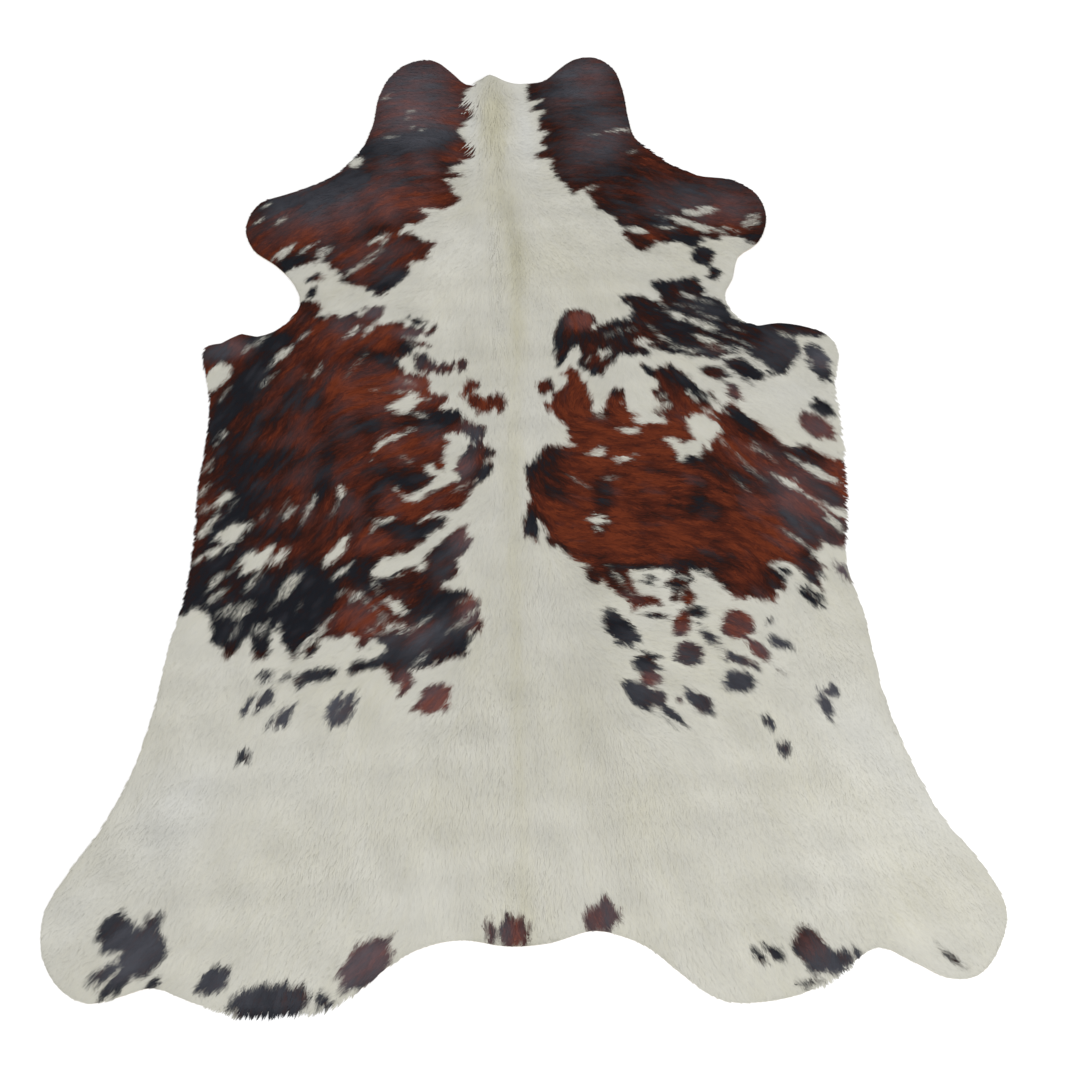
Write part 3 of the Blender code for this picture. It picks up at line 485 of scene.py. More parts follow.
# Painted sheen: where coloured hair is painted paler and cooler, standing for the sky's sheen on it
PAINTED_SHEENS = listed(Tone, (
    (-360, 0, 260, 300, 0, 0.045), (600, -120, 80, 160, 0, 0.03), (-290, 990, 120, 100, 80, 0.29),
    (-270, 850, 110, 70, 10, 0.19), (-500, 620, 140, 90, 25, 0.18), (130, 1020, 110, 80, 60, 0.25),
    (-330, 640, 120, 70, 20, 0.1), (-360, 460, 110, 70, 0, 0.08), (300, 620, 100, 80, 0, 0.08),
    (-280, 740, 120, 40, 0, 0.08), (170, 830, 110, 70, 60, 0.22), (450, 630, 110, 60, -10, 0.16),
    (-660, -995, 90, 60, 20, 0.24), (-420, -1070, 80, 30, 0, 0.18), (-270, -1020, 70, 40, 40, 0.32),
    (-515, -1045, 40, 30, 0, 0.2), (-40, -970, 50, 30, 0, 0.18), (125, -940, 50, 40, 0, 0.22),
    (520, -1010, 80, 40, 0, 0.2), (-340, -580, 60, 50, 0, 0.26), (-480, -590, 80, 80, 0, 0.22),
    (560, 220, 80, 50, 0, 0.14), (-650, 215, 50, 30, 20, 0.24), (-340, 315, 30, 20, 0, 0.24),
    (-250, 255, 40, 18, -10, 0.22), (-120, 0, 40, 26, 20, 0.16), (-135, -70, 34, 24, 60, 0.2),
    (-128, -240, 36, 24, 60, 0.22), (-165, -290, 40, 30, 60, 0.1), (-310, -400, 60, 40, 30, 0.07),
    (-110, -390, 26, 40, 0, 0.18), (-185, -440, 50, 30, 30, 0.12), (-170, -565, 50, 36, 30, 0.2),
    (-260, 130, 34, 18, 0, 0.18), (-400, 280, 50, 30, 0, 0.12), (600, 30, 50, 36, -30, 0.16),
    (435, 110, 30, 20, -40, 0.22), (634, 190, 30, 30, 0, 0.3), (112, 292, 36, 32, 0, 0.14),
    (390, -525, 60, 40, 0, 0.16), (550, -562, 40, 50, 0, 0.26), (452, -635, 40, 50, 0, 0.18),
    (325, -568, 50, 40, 0, 0.12), (480, -455, 50, 70, 0, 0.14), (178, -422, 60, 60, 0, 0.06),
    (520, -110, 110, 70, -40, 0.07), (-235, -455, 80, 50, 20, 0.1), (-180, 168, 60, 20, 0, 0.12),
    (404, -440, 70, 60, 0, 0.1), (300, -470, 60, 60, 0, 0.14), (240, -550, 70, 60, 0, 0.14),
    (560, -180, 80, 100, 0, 0.1), (400, 200, 60, 30, 0, 0.12), (380, 330, 60, 50, 0, 0.08),
    (-225, -530, 26, 26, 0, 0.14), (610, -300, 30, 40, 0, 0.26),
))

# Cream hair that is yellower (to 1) or whiter (to -1) than the rest
TINTS = listed(Tone, (
    (-85, 860, 190, 32, 94, 1.0), (-45, 560, 120, 30, 100, 0.5), (-30, 420, 120, 26, 92, 0.55),
    (-20, 270, 70, 18, 95, 0.5), (-30, 50, 300, 17, 90, 0.45), (-20, -450, 300, 16, 91, 0.32),
    (-3, -850, 200, 14, 92, 0.28), (120, -700, 500, 300, 80, 0.12), (-142, 870, 140, 18, 91, -0.75),
    (-10, 880, 150, 24, 97, -0.85), (-600, -760, 120, 70, 60, -0.7), (640, -670, 110, 60, -60, -0.55),
    (-770, -930, 80, 50, 60, -0.4), (100, 450, 140, 100, 40, 0.22), (-180, 500, 100, 60, 60, -0.25),
    (560, 100, 70, 50, 0, -0.35), (-130, -20, 60, 50, 0, -0.2), (30, 20, 60, 30, 90, -0.3),
))

# Painted shade and light on the cream: where it is painted darker (to 1) or brighter (below 0) than
# the rest, as the light falls
PAINTED_SHADES = listed(Tone, (
    (-30, -450, 420, 170, 90, 0.1), (130, -520, 260, 70, 90, 0.14), (60, 480, 160, 120, 60, -0.12),
    (-180, 420, 160, 70, 80, -0.22), (-140, 180, 100, 50, 80, 0.06), (-650, -850, 140, 120, 60, 0.08),
    (620, -800, 160, 140, -60, -0.14), (-50, 870, 160, 100, 94, -0.18),
    (-300, -850, 200, 160, 0, 0.02), (350, -850, 200, 160, 0, 0.08), (-40, 540, 100, 14, 98, 0.18),
    (-25, 430, 90, 14, 92, 0.18),
))


# ---------------------------------------------------------------- fields over the hide

@dataclass(frozen=True)
class Chart:
    """A square grid over the floor under the hide, on which fields are worked out.

    low is its lowest corner, high the highest one at least, and step the side of a cell.
    """

    low: tuple[float, float]
    high: tuple[float, float]
    step: float

    @property
    def shape(self) -> tuple[int, int]:
        """Rows and columns."""
        return (math.ceil((self.high[1] - self.low[1]) / self.step) + 1,
                math.ceil((self.high[0] - self.low[0]) / self.step) + 1)

    def places(self) -> Array:
        """Places of the grid, a step apart from its lowest corner.

        Returns:
            rows x columns x 2.
        """
        rows, columns = self.shape
        x = self.low[0] + self.step * np.arange(columns)
        y = self.low[1] + self.step * np.arange(rows)
        return np.stack(np.meshgrid(x, y), axis=2)

    def window(self, low: Array, high: Array) -> tuple[slice, slice]:
        """Rows and columns that cover a box.

        Args:
            low: lowest corner of the box.
            high: highest corner of the box.

        Returns:
            One slice of rows and one of columns.
        """
        rows, columns = self.shape
        first = np.floor((np.asarray(low) - self.low) / self.step).astype(int)
        last = np.ceil((np.asarray(high) - self.low) / self.step).astype(int) + 1
        return (slice(max(first[1], 0), max(min(last[1], rows), 0)),
                slice(max(first[0], 0), max(min(last[0], columns), 0)))

    def read(self, layer: Array, places: Array) -> Array:
        """Bilinear reading: the four cells' values weighted by how near each is.

        Args:
            layer: values on the grid, rows x columns, or with a third axis.
            places: n x 2 places.

        Returns:
            n values, or n rows of values.
        """
        rows, columns = self.shape
        at = (places - np.array(self.low)) / self.step
        at = np.clip(at, 0.0, np.array((columns, rows)) - 1.001)
        cell = at.astype(int)
        share = at - cell
        column, row = cell[:, 0], cell[:, 1]
        across, up = share[:, 0], share[:, 1]
        if layer.ndim == 3:
            across, up = across[:, None], up[:, None]
        lower = layer[row, column] * (1.0 - across) + layer[row, column + 1] * across
        upper = layer[row + 1, column] * (1.0 - across) + layer[row + 1, column + 1] * across
        return lower * (1.0 - up) + upper * up


def soften(layer: Array, cells: float) -> Array:
    """Gaussian blur: each axis in turn summed with bell-shaped weights.

    Args:
        layer: rows x columns.
        cells: spread of the bell, in cells.

    Returns:
        The softened layer.
    """
    half = max(1, int(math.ceil(2.5 * cells)))
    weights = np.exp(-0.5 * (np.arange(-half, half + 1) / cells) ** 2)
    weights /= weights.sum()
    for axis in (0, 1):
        margin = [(half, half) if k == axis else (0, 0) for k in (0, 1)]
        padded = np.pad(layer, margin, mode="reflect")
        count = layer.shape[axis]
        layer = sum(w * np.take(padded, np.arange(k, k + count), axis=axis)
                    for k, w in enumerate(weights))
    return layer


def fade(value: Array, start: float, end: float) -> Array:
    """Smooth step from 0 at start to 1 at end: 3 s^2 - 2 s^3 of the share s between them."""
    share = np.clip((value - start) / (end - start), 0.0, 1.0)
    return share * share * (3.0 - 2.0 * share)


def ring_depth(places: Array, ring: Array) -> Array:
    """Signed distance to a closed polygon: to its nearest edge, positive inside.

    Args:
        places: n x 2.
        ring: m x 2 corners in order.

    Returns:
        n distances.
    """
    a, b = ring, np.roll(ring, -1, axis=0)
    along = b - a
    rise = np.where(along[:, 1] == 0.0, 1e-12, along[:, 1])
    length = np.maximum((along ** 2).sum(axis=1), 1e-18)
    depth = np.empty(len(places))
    block = max(1, 2_000_000 // len(ring))
    for first in range(0, len(places), block):
        part = places[first:first + block]
        offset = part[:, None, :] - a[None]
        share = np.clip((offset * along).sum(axis=2) / length, 0.0, 1.0)
        away = np.sqrt(((offset - share[:, :, None] * along) ** 2).sum(axis=2).min(axis=1))
        y = part[:, 1][:, None]
        spans = (a[:, 1] > y) != (b[:, 1] > y)
        crossed = spans & (part[:, 0][:, None] < a[:, 0] + (y - a[:, 1]) / rise * along[:, 0])
        depth[first:first + block] = np.where(crossed.sum(axis=1) % 2 == 1, away, -away)
    return depth


def turned(places: Array, spot: Spot) -> tuple[Array, Array]:
    """Places in a spot's own frame: moved to its middle, then turned back by its slope.

    Args:
        places: places, with a last axis of 2.
        spot: the spot.

    Returns:
        Shares of its half length along it and of its half width across it.
    """
    slope = math.radians(spot.slope)
    x, y = places[..., 0] - spot.x, places[..., 1] - spot.y
    along = x * math.cos(slope) + y * math.sin(slope)
    across = y * math.cos(slope) - x * math.sin(slope)
    return along / spot.length, across / spot.width


def swung(way: Array, turn: Array) -> Array:
    """Directions turned to the left: (x cos t - y sin t, x sin t + y cos t).

    Args:
        way: n x 2 directions.
        turn: n angles in radians.

    Returns:
        n x 2 directions.
    """
    cos, sin = np.cos(turn), np.sin(turn)
    return np.stack((way[:, 0] * cos - way[:, 1] * sin, way[:, 0] * sin + way[:, 1] * cos), axis=1)


def leftward(way: Array) -> Array:
    """Directions a quarter turn to the left: (-y, x)."""
    return np.stack((-way[..., 1], way[..., 0]), axis=-1)


@dataclass(frozen=True)
class Swell:
    """A slow even variation: its strength, about how far apart its swells are, its pattern."""

    strength: float
    length: float
    seed: int

    def over(self, places: Array) -> Array:
        """The mean of eight plane waves of about one length, times three and the strength.

        Args:
            places: n x 2 or rows x columns x 2.

        Returns:
            Values mostly within the strength.
        """
        rng = np.random.default_rng(self.seed)
        total = np.zeros(places.shape[:-1])
        for heading, stretch, phase in zip(rng.uniform(0, math.tau, 8), rng.uniform(0.7, 1.5, 8),
                                           rng.uniform(0, math.tau, 8)):
            pace = math.tau / (self.length * stretch)
            along = places[..., 0] * math.cos(heading) + places[..., 1] * math.sin(heading)
            total += np.sin(along * pace + phase)
        return self.strength * (total * 3.0 / 8.0)


@dataclass(frozen=True)
class Comb:
    """Noise drawn out along the hair: how wide and how long its streaks are, and its pattern."""

    across: float
    along: float
    seed: int


@dataclass
class Outline:
    """The hide's cut edge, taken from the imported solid, and the distance to it.

    The solid's corners are told apart to `fineness` steps a metre. Its locks' tips are less than
    `lock_steps` of them thick, and a corner of the rim within `touch` of one is a lock's own.
    """

    node: Piece
    margin: float = 0.03
    step: float = 0.005
    fineness: float = 1e5
    lock_steps: int = 200
    touch: float = 1e-4
    chart: Chart = field(init=False)
    rim: Array = field(init=False)
    depth: Array = field(init=False)

    def __post_init__(self) -> None:
        """Read the rim and chart how deep inside it each place is."""
        self.rim = self._skin_rim()
        low, high = self.rim.min(axis=0) - self.margin, self.rim.max(axis=0) + self.margin
        self.chart = Chart(tuple(low), tuple(high), self.step)
        places = self.chart.places()
        self.depth = ring_depth(places.reshape(-1, 2), self.rim).reshape(self.chart.shape)

    def _skin_rim(self) -> Array:
        """Rim of the solid's flat underside, walked once round, without the tips of locks.

        Returns:
            n x 2 places in order.
        """
        data = self.node.data
        points = np.zeros(len(data.vertices) * 3, np.float32)
        data.vertices.foreach_get("co", points)
        data.calc_loop_triangles()
        faces = np.zeros(len(data.loop_triangles) * 3, np.int32)
        data.loop_triangles.foreach_get("vertices", faces)
        steps = np.round(points.reshape(-1, 3) * self.fineness).astype(np.int64)
        keys, first, weld = np.unique(steps, axis=0, return_index=True, return_inverse=True)
        points = points.reshape(-1, 3)[first]
        faces = weld.reshape(-1)[faces].reshape(-1, 3)
        under = faces[(keys[faces][:, :, 2] <= 1).all(axis=1)]
        edges = np.concatenate((under[:, (0, 1)], under[:, (1, 2)], under[:, (2, 0)]))
        code = edges[:, 0] * len(points) + edges[:, 1]
        back = edges[:, 1] * len(points) + edges[:, 0]
        open_edges = edges[~np.isin(code, back)]
        following = {int(a): int(b) for a, b in open_edges}
        walk = [int(open_edges[0, 0])]
        while following[walk[-1]] != walk[0]:
            walk.append(following[walk[-1]])
        ring = points[walk][::-1, :2].astype(float)
        locks = points[(keys[:, 2] > 1) & (keys[:, 2] < self.lock_steps)]
        if len(locks) == 0:
            return ring
        away = np.linalg.norm(ring[:, None] - locks[None, :, :2], axis=2).min(axis=1)
        return ring[away >= self.touch]

    def deep(self, places: Array) -> Array:
        """Distance inside the rim at n x 2 places, negative outside."""
        return self.chart.read(self.depth, places)


@dataclass
class CoatShape:
    """Height of the coat's surface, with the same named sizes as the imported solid.

    A rise is the pair of places along the hide between which a form grows to its full height,
    measured towards the neck, or towards the tail for the ridges.
    """

    outline: Outline
    skin: float = 0.0025
    coat: float = 0.0045
    rim_round: float = 0.030
    overhang: float = 0.012
    lock_tip: float = 0.0014
    tail_head: tuple[float, float] = (0.008, -0.990)
    nape: tuple[float, float] = (-0.104, 1.020)
    crest: float = 0.0035
    crest_half_width: float = 0.020
    crest_rise: tuple[float, float] = (-0.10, 0.25)
    mane: float = 0.0060
    mane_half_width: float = 0.045
    mane_rise: tuple[float, float] = (0.66, 0.90)
    ridge: float = 0.0020
    ridge_offset: float = 0.038
    ridge_half_width: float = 0.022
    ridge_rise: tuple[float, float] = (0.25, 0.60)
    waves: Swell = Swell(0.0010, 0.24, 5)

    def from_spine(self, places: Array) -> Array:
        """Distance to the right of the spine's line from tail head to nape."""
        share = (places[..., 1] - self.tail_head[1]) / (self.nape[1] - self.tail_head[1])
        return places[..., 0] - self.tail_head[0] - share * (self.nape[0] - self.tail_head[0])

    def height(self, places: Array) -> Array:
        """Surface height: a quarter-round rim, then coat, crest, mane, ridges and soft waves.

        Args:
            places: n x 2.

        Returns:
            n heights over the floor.
        """
        y = places[:, 1]
        deep = self.outline.deep(places)
        rounded = np.sqrt(1.0 - (1.0 - np.clip(deep / self.rim_round, 0.0, 1.0)) ** 2)
        off = self.from_spine(places)
        crest = self.crest * fade(y, *self.crest_rise)
        crest = crest * np.exp(-(off / self.crest_half_width) ** 2)
        mane = self.mane * fade(y, *self.mane_rise) * np.exp(-(off / self.mane_half_width) ** 2)
        ridge = np.exp(-((np.abs(off) - self.ridge_offset) / self.ridge_half_width) ** 2)
        parting = self.ridge * fade(-y, *self.ridge_rise) * ridge
        over = -np.clip(deep / self.overhang, -1.0, 0.0)
        full = self.skin + rounded * (self.coat + crest + mane + parting + self.waves.over(places))
        return full - over * (self.skin - self.lock_tip)


@dataclass
class Flow:
    """The way the hair lies: a charted unit vector, blended from the table of places.

    Far from every place of the table a faint `far_weight` keeps the blend even.
    """

    outline: Outline
    step: float = 0.010
    far_weight: float = 1e-4
    far_area: float = 0.01
    swirl: Swell = Swell(math.radians(7.0), 0.16, 11)
    softness: float = 1.5
    strides: int = 5
    chart: Chart = field(init=False)
    way: Array = field(init=False)

    def __post_init__(self) -> None:
        """Blend the table with bell-shaped weights, then add a slow swirl."""
        base = self.outline.chart
        self.chart = Chart(base.low, base.high, self.step)
        places = self.chart.places()
        flat = places.reshape(-1, 2)
        heading = np.radians(LIES[:, 2])
        away2 = ((flat[:, None] - LIES[None, :, :2]) ** 2).sum(axis=2)
        far = self.far_weight / (1.0 + away2 / self.far_area) ** 2
        weight = np.exp(-away2 / LIES[:, 3] ** 2) + far
        x = (weight * np.cos(heading)).sum(axis=1)
        y = (weight * np.sin(heading)).sum(axis=1)
        turn = np.arctan2(y, x) + self.swirl.over(flat)
        way = np.stack((np.cos(turn), np.sin(turn)), axis=1).reshape(*places.shape)
        self.way = np.stack([soften(way[..., k], self.softness) for k in (0, 1)], axis=2)

    def at(self, places: Array) -> Array:
        """Unit vectors along the hair at n x 2 places."""
        way = self.chart.read(self.way, places)
        return way / np.maximum(np.linalg.norm(way, axis=1), 1e-6)[:, None]

    def combed(self, chart: Chart, comb: Comb) -> Array:
        """Noise drawn out along the hair: white noise softened, then averaged along the flow.

        Args:
            chart: grid that it is worked out on.
            comb: width and length of its streaks, and which noise.

        Returns:
            rows x columns with mean 0 and spread 1.
        """
        rng = np.random.default_rng(comb.seed)
        grain = soften(rng.standard_normal(chart.shape), comb.across / chart.step)
        flat = chart.places().reshape(-1, 2)
        way = self.at(flat)
        steps = np.arange(-self.strides, self.strides + 1)
        stride = comb.along / len(steps)
        total = sum(chart.read(grain, flat + way * stride * k) for k in steps)
        total = (total - total.mean()) / total.std()
        return total.reshape(chart.shape)


@dataclass
class Markings:
    """The hide's natural patches, charted: the share of coloured hair, how dark, how yellow.

    The tables' places were read on the floor from over VIEW_FOOT. The hair stands a little over
    it, so each place is looked up a share `lean` of its way farther out.

    The locks drag the hair of a spot out along the flow, so a spot is drawn shorter by `drag`,
    though not under `shortest` of itself, and a little thinner, and a fleck more so. Marks under
    `fine_width` lose some depth. `teeth` are how far the combs push a mark's edge in and out.
    Beside the patches it charts painted shade on the cream and painted sheen on coloured hair.
    """

    flow: Flow
    step: float = 0.003
    long_comb: Comb = Comb(0.0035, 0.060, 21)
    fine_comb: Comb = Comb(0.0018, 0.028, 22)
    teeth: float = 0.0024
    fine_teeth: float = 0.0020
    spot_teeth: float = 0.3
    edge: float = 0.0075
    margin: float = 0.06
    drag: float = 0.006
    thinned: float = 0.96
    fleck_drag: float = 0.010
    fleck_thinned: float = 0.84
    shortest: float = 0.6
    fine_width: float = 0.0055
    fine_loss: float = 0.4
    cream_power: float = 1.8
    blend: float = 0.006
    blend_range: tuple[float, float] = (-0.05, 0.02)
    dark_combs: tuple[float, float] = (0.085, 0.075)
    dark_swell: Swell = Swell(0.06, 0.11, 31)
    tint_comb: float = 0.05
    tint_swell: Swell = Swell(0.10, 0.20, 41)
    # The next two fields set the cream's painted shade, the three after them the painted sheen on
    # coloured hair
    shade: float = 0.26
    shade_swell: Swell = Swell(0.06, 0.09, 43)
    painted_sheen: float = -0.02
    painted_sheen_comb: float = 0.02
    painted_sheen_swell: Swell = Swell(0.02, 0.07, 45)
    stray_gain: float = 4.0
    lean: float = 0.0033
    chart: Chart = field(init=False)
    layers: Array = field(init=False)

    def __post_init__(self) -> None:
        """Paint all marks on the chart."""
        base = self.flow.outline.chart
        self.chart = Chart(base.low, base.high, self.step)
        self.layers = self._paint()

    def _depth(self, mark: Patch | Spot, places: Array) -> Array:
        """Depth inside a patch or a spot: for a spot, its half width times 1 minus the radius.

        Args:
            mark: the patch or spot.
            places: rows x columns x 2.

        Returns:
            rows x columns of depths, negative outside.
        """
        if isinstance(mark, Patch):
            return ring_depth(places.reshape(-1, 2), mark.ring()).reshape(places.shape[:-1])
        drag, thinned = self.drag, self.thinned
        if isinstance(mark, Fleck):
            drag, thinned = self.fleck_drag, self.fleck_thinned
        length = max(mark.length - drag, self.shortest * mark.length)
        drawn = replace(mark, length=length, width=thinned * mark.width)
        radius = np.hypot(*turned(places, drawn))
        loss = max(0.0, self.fine_width - drawn.width) * self.fine_loss
        return drawn.width * (1.0 - radius) - loss

    def _spread(self, marks: tuple[Tone, ...], places: Array, start: float) -> Array:
        """Sum of soft spots: each its amount, falling off past a share of its size.

        Args:
            marks: the spots.
            places: rows x columns x 2.
            start: square of that share.

        Returns:
            rows x columns.
        """
        total = np.zeros(places.shape[:-1])
        for mark in marks:
            along, across = turned(places, mark)
            away = np.maximum(along ** 2 + across ** 2 - start, 0.0)
            total += mark.amount * np.exp(-away / (1.0 - start * 0.3))
        return total

    def _paint(self) -> Array:
        """Work out the layers, each mark in turn over a box round it.

        Returns:
            rows x columns x 5: share of coloured hair, darkness, tint, the cream's painted shade,
                painted sheen.
        """
        chart = self.chart
        places = chart.places()
        long_comb = self.flow.combed(chart, self.long_comb)
        fine_comb = self.flow.combed(chart, self.fine_comb)
        cover = np.zeros(chart.shape)
        dark = np.zeros(chart.shape)
        weight = np.full(chart.shape, 1e-9)
        marks: list[tuple[Patch | Spot, Hair]] = [(patch, patch.hair) for patch in PATCHES]
        marks += [(spot, hair) for hair, spots in SPOTS.items() for spot in spots]
        marks += [(fleck, Hair.CREAM) for fleck in FLECKS]
        for mark, hair in marks:
            if isinstance(mark, Patch):
                reach, teeth = mark.ring(), self.teeth
            else:
                reach = np.array(((mark.x, mark.y),)) + np.array(((-1.0,), (1.0,))) * mark.length
                teeth = min(self.spot_teeth * mark.width, self.teeth)
            box = chart.window(reach.min(axis=0) - self.margin, reach.max(axis=0) + self.margin)
            depth = self._depth(mark, places[box]) + teeth * long_comb[box]
            depth = depth + min(teeth, self.fine_teeth) * fine_comb[box]
            inside = np.clip(0.5 + depth / self.edge, 0.0, 1.0)
            if hair is Hair.CREAM:
                share = mark.share if isinstance(mark, Fleck) else 1.0
                cover[box] *= 1.0 - share ** self.cream_power * inside
                continue
            cover[box] = np.maximum(cover[box], inside)
            near = np.exp(np.clip(depth, *self.blend_range) / self.blend)
            dark[box] += near * hair.value
            weight[box] += near
        dark = dark / weight + self._spread(TONES, places, 0.35)
        dark += (self.dark_combs[0] * long_comb + self.dark_combs[1] * fine_comb
                 + self.dark_swell.over(places))
        tint = self.tint_swell.over(places) + self.tint_comb * long_comb
        tint += self._spread(TINTS, places, 0.0)
        # Painted shade on the cream: darker or brighter where the light falls so
        shade = self.shade + self.shade_swell.over(places) + self._spread(PAINTED_SHADES, places, 0.0)
        # Painted sheen: a pale cool cast over coloured hair, standing for the sky's sheen on it
        painted_sheen = self._spread(PAINTED_SHEENS, places, 0.2) + self.painted_sheen
        painted_sheen += self.painted_sheen_swell.over(places) + self.painted_sheen_comb * long_comb
        return np.stack((cover, dark, 0.5 + 0.5 * tint, shade, painted_sheen), axis=2)

    def paint(self, places: Array, stray: Array | float = 0.0) -> tuple[Array, Array]:
        """Values for the shader, each 0 to 1.

        Args:
            places: n x 2.
            stray: added to the share on the patches' edges, so that single locks stand out.

        Returns:
            Share of coloured hair, darkness and tint as n x 3; the cream's painted shade and the
            painted sheen on coloured hair, and zeros, as n x 3.
        """
        out = places + (places - np.array(VIEW_FOOT)) * self.lean
        values = self.chart.read(self.layers, out)
        values[:, 0] += stray * self.stray_gain * values[:, 0] * (1.0 - values[:, 0])
        values = np.clip(np.column_stack((values, np.zeros(len(values)))), 0.0, 1.0)
        return values[:, :3], values[:, 3:]


# ---------------------------------------------------------------- meshes

# Locks take their grain from places up to this far across the strand map
GRAINS = 100.0


def new_piece(name: str, points: Array, faces: Array, smooth: bool) -> Piece:
    """A mesh object at the origin from whole arrays.

    Args:
        name: the piece's name.
        points: n x 3.
        faces: m x 3 point numbers, counter-clockwise seen from outside.
        smooth: whether its faces shade smoothly.

    Returns:
        The object, linked to the scene and riding on the hide's body.
    """
    data = bpy.data.meshes.new(name)
    data.vertices.add(len(points))
    data.vertices.foreach_set("co", points.astype(np.float32).ravel())
    data.loops.add(faces.size)
    data.loops.foreach_set("vertex_index", faces.astype(np.int32).ravel())
    data.polygons.add(len(faces))
    data.polygons.foreach_set("loop_start", np.arange(0, faces.size, 3, dtype=np.int32))
    data.update(calc_edges=True)
    data.polygons.foreach_set("use_smooth", np.full(len(faces), smooth))
    piece = bpy.data.objects.new(name, data)
    bpy.context.scene.collection.objects.link(piece)
    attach(piece, "root")
    return piece


def store(piece: Piece, name: str, values: Array) -> None:
    """Keep one RGB value a point as an attribute that the finishes read.

    Args:
        piece: the piece.
        name: the attribute's name.
        values: n x 3.
    """
    layer = piece.data.attributes.new(name, "FLOAT_COLOR", "POINT")
    full = np.ones((len(values), 4), np.float32)
    full[:, :3] = values
    layer.data.foreach_set("color", full.ravel())


def store_paint(piece: Piece, paint: tuple[Array, Array], points: int) -> None:
    """Keep the markings and the painted light of the hair (painted shade on the cream, painted sheen
    on coloured hair), one row of each for every so many points.
    """
    for name, values in zip(("markings", "cast"), paint):
        store(piece, name, np.repeat(values.reshape(-1, 3), points, axis=0))


def store_uv(piece: Piece, name: str, values: Array) -> None:
    """Keep one UV pair a corner as a UV map."""
    layer = piece.data.uv_layers.new(name=name)
    layer.uv.foreach_set("vector", values.astype(np.float32).ravel())


def store_locks(piece: Piece, faces: Array, shade: Array, along: Array,
                strand: Array, rng: Random) -> None:
    """Keep how each lock lies, and the map along its strands, moved aside by its own grain.

    Args:
        piece: a piece of locks with the same points each.
        faces: m x 3 point numbers.
        shade: one value a lock, from 0 to 1.
        along: how far along the lock each of its points is.
        strand: the map of one lock's points, n x 2: across it and along it.
        rng: source of the locks' twin values and grains.
    """
    count, size = len(shade), len(along)
    twin = np.repeat(rng.uniform(0.0, 1.0, count), size)
    store(piece, "lie", np.column_stack((np.repeat(shade, size), np.tile(along, count), twin)))
    grain = np.repeat(rng.uniform(0.0, GRAINS, count), size)
    laid = np.tile(strand, (count, 1))
    laid[:, 0] = grain + laid[:, 0]
    store_uv(piece, "strand", laid[faces.ravel()])


def bend_normals(piece: Piece, points: Array, faces: Array, top: Array,
                 bend: float) -> None:
    """Bend the normals of the locks' top faces towards straight up, and leave the others.

    A bent normal is the face's own times 1 - bend plus bend upwards, made a unit again.

    Args:
        piece: the piece.
        points: n x 3.
        faces: m x 3 point numbers.
        top: m flags, true where the face is on top of its lock.
        bend: how far they are bent, from 0 to 1.
    """
    spots = points[faces]
    normal = np.cross(spots[:, 1] - spots[:, 0], spots[:, 2] - spots[:, 0])
    normal /= np.maximum(np.linalg.norm(normal, axis=1), 1e-12)[:, None]
    upper = top & (normal[:, 2] > 0.1)
    bent = normal * (1.0 - bend) + np.array((0.0, 0.0, bend))
    bent /= np.linalg.norm(bent, axis=1)[:, None]
    normal[upper] = bent[upper]
    piece.data.normals_split_custom_set(np.repeat(normal, 3, axis=0).astype(np.float32))


def hexagonal(low: Array, high: Array, step: float) -> Array:
    """Places of a grid of even triangles over a box: every other row is half a step aside.

    Args:
        low: lowest corner of the box.
        high: highest corner of the box.
        step: side of a triangle.

    Returns:
        n x 2 places.
    """
    rise = step * math.sqrt(3.0) / 2.0
    rows = np.arange(low[1], high[1], rise)
    columns = np.arange(low[0], high[0], step)
    x = columns[None, :] + step / 2.0 * (np.arange(len(rows)) % 2)[:, None]
    y = np.broadcast_to(rows[:, None], x.shape)
    return np.stack((x, y), axis=2).reshape(-1, 2)


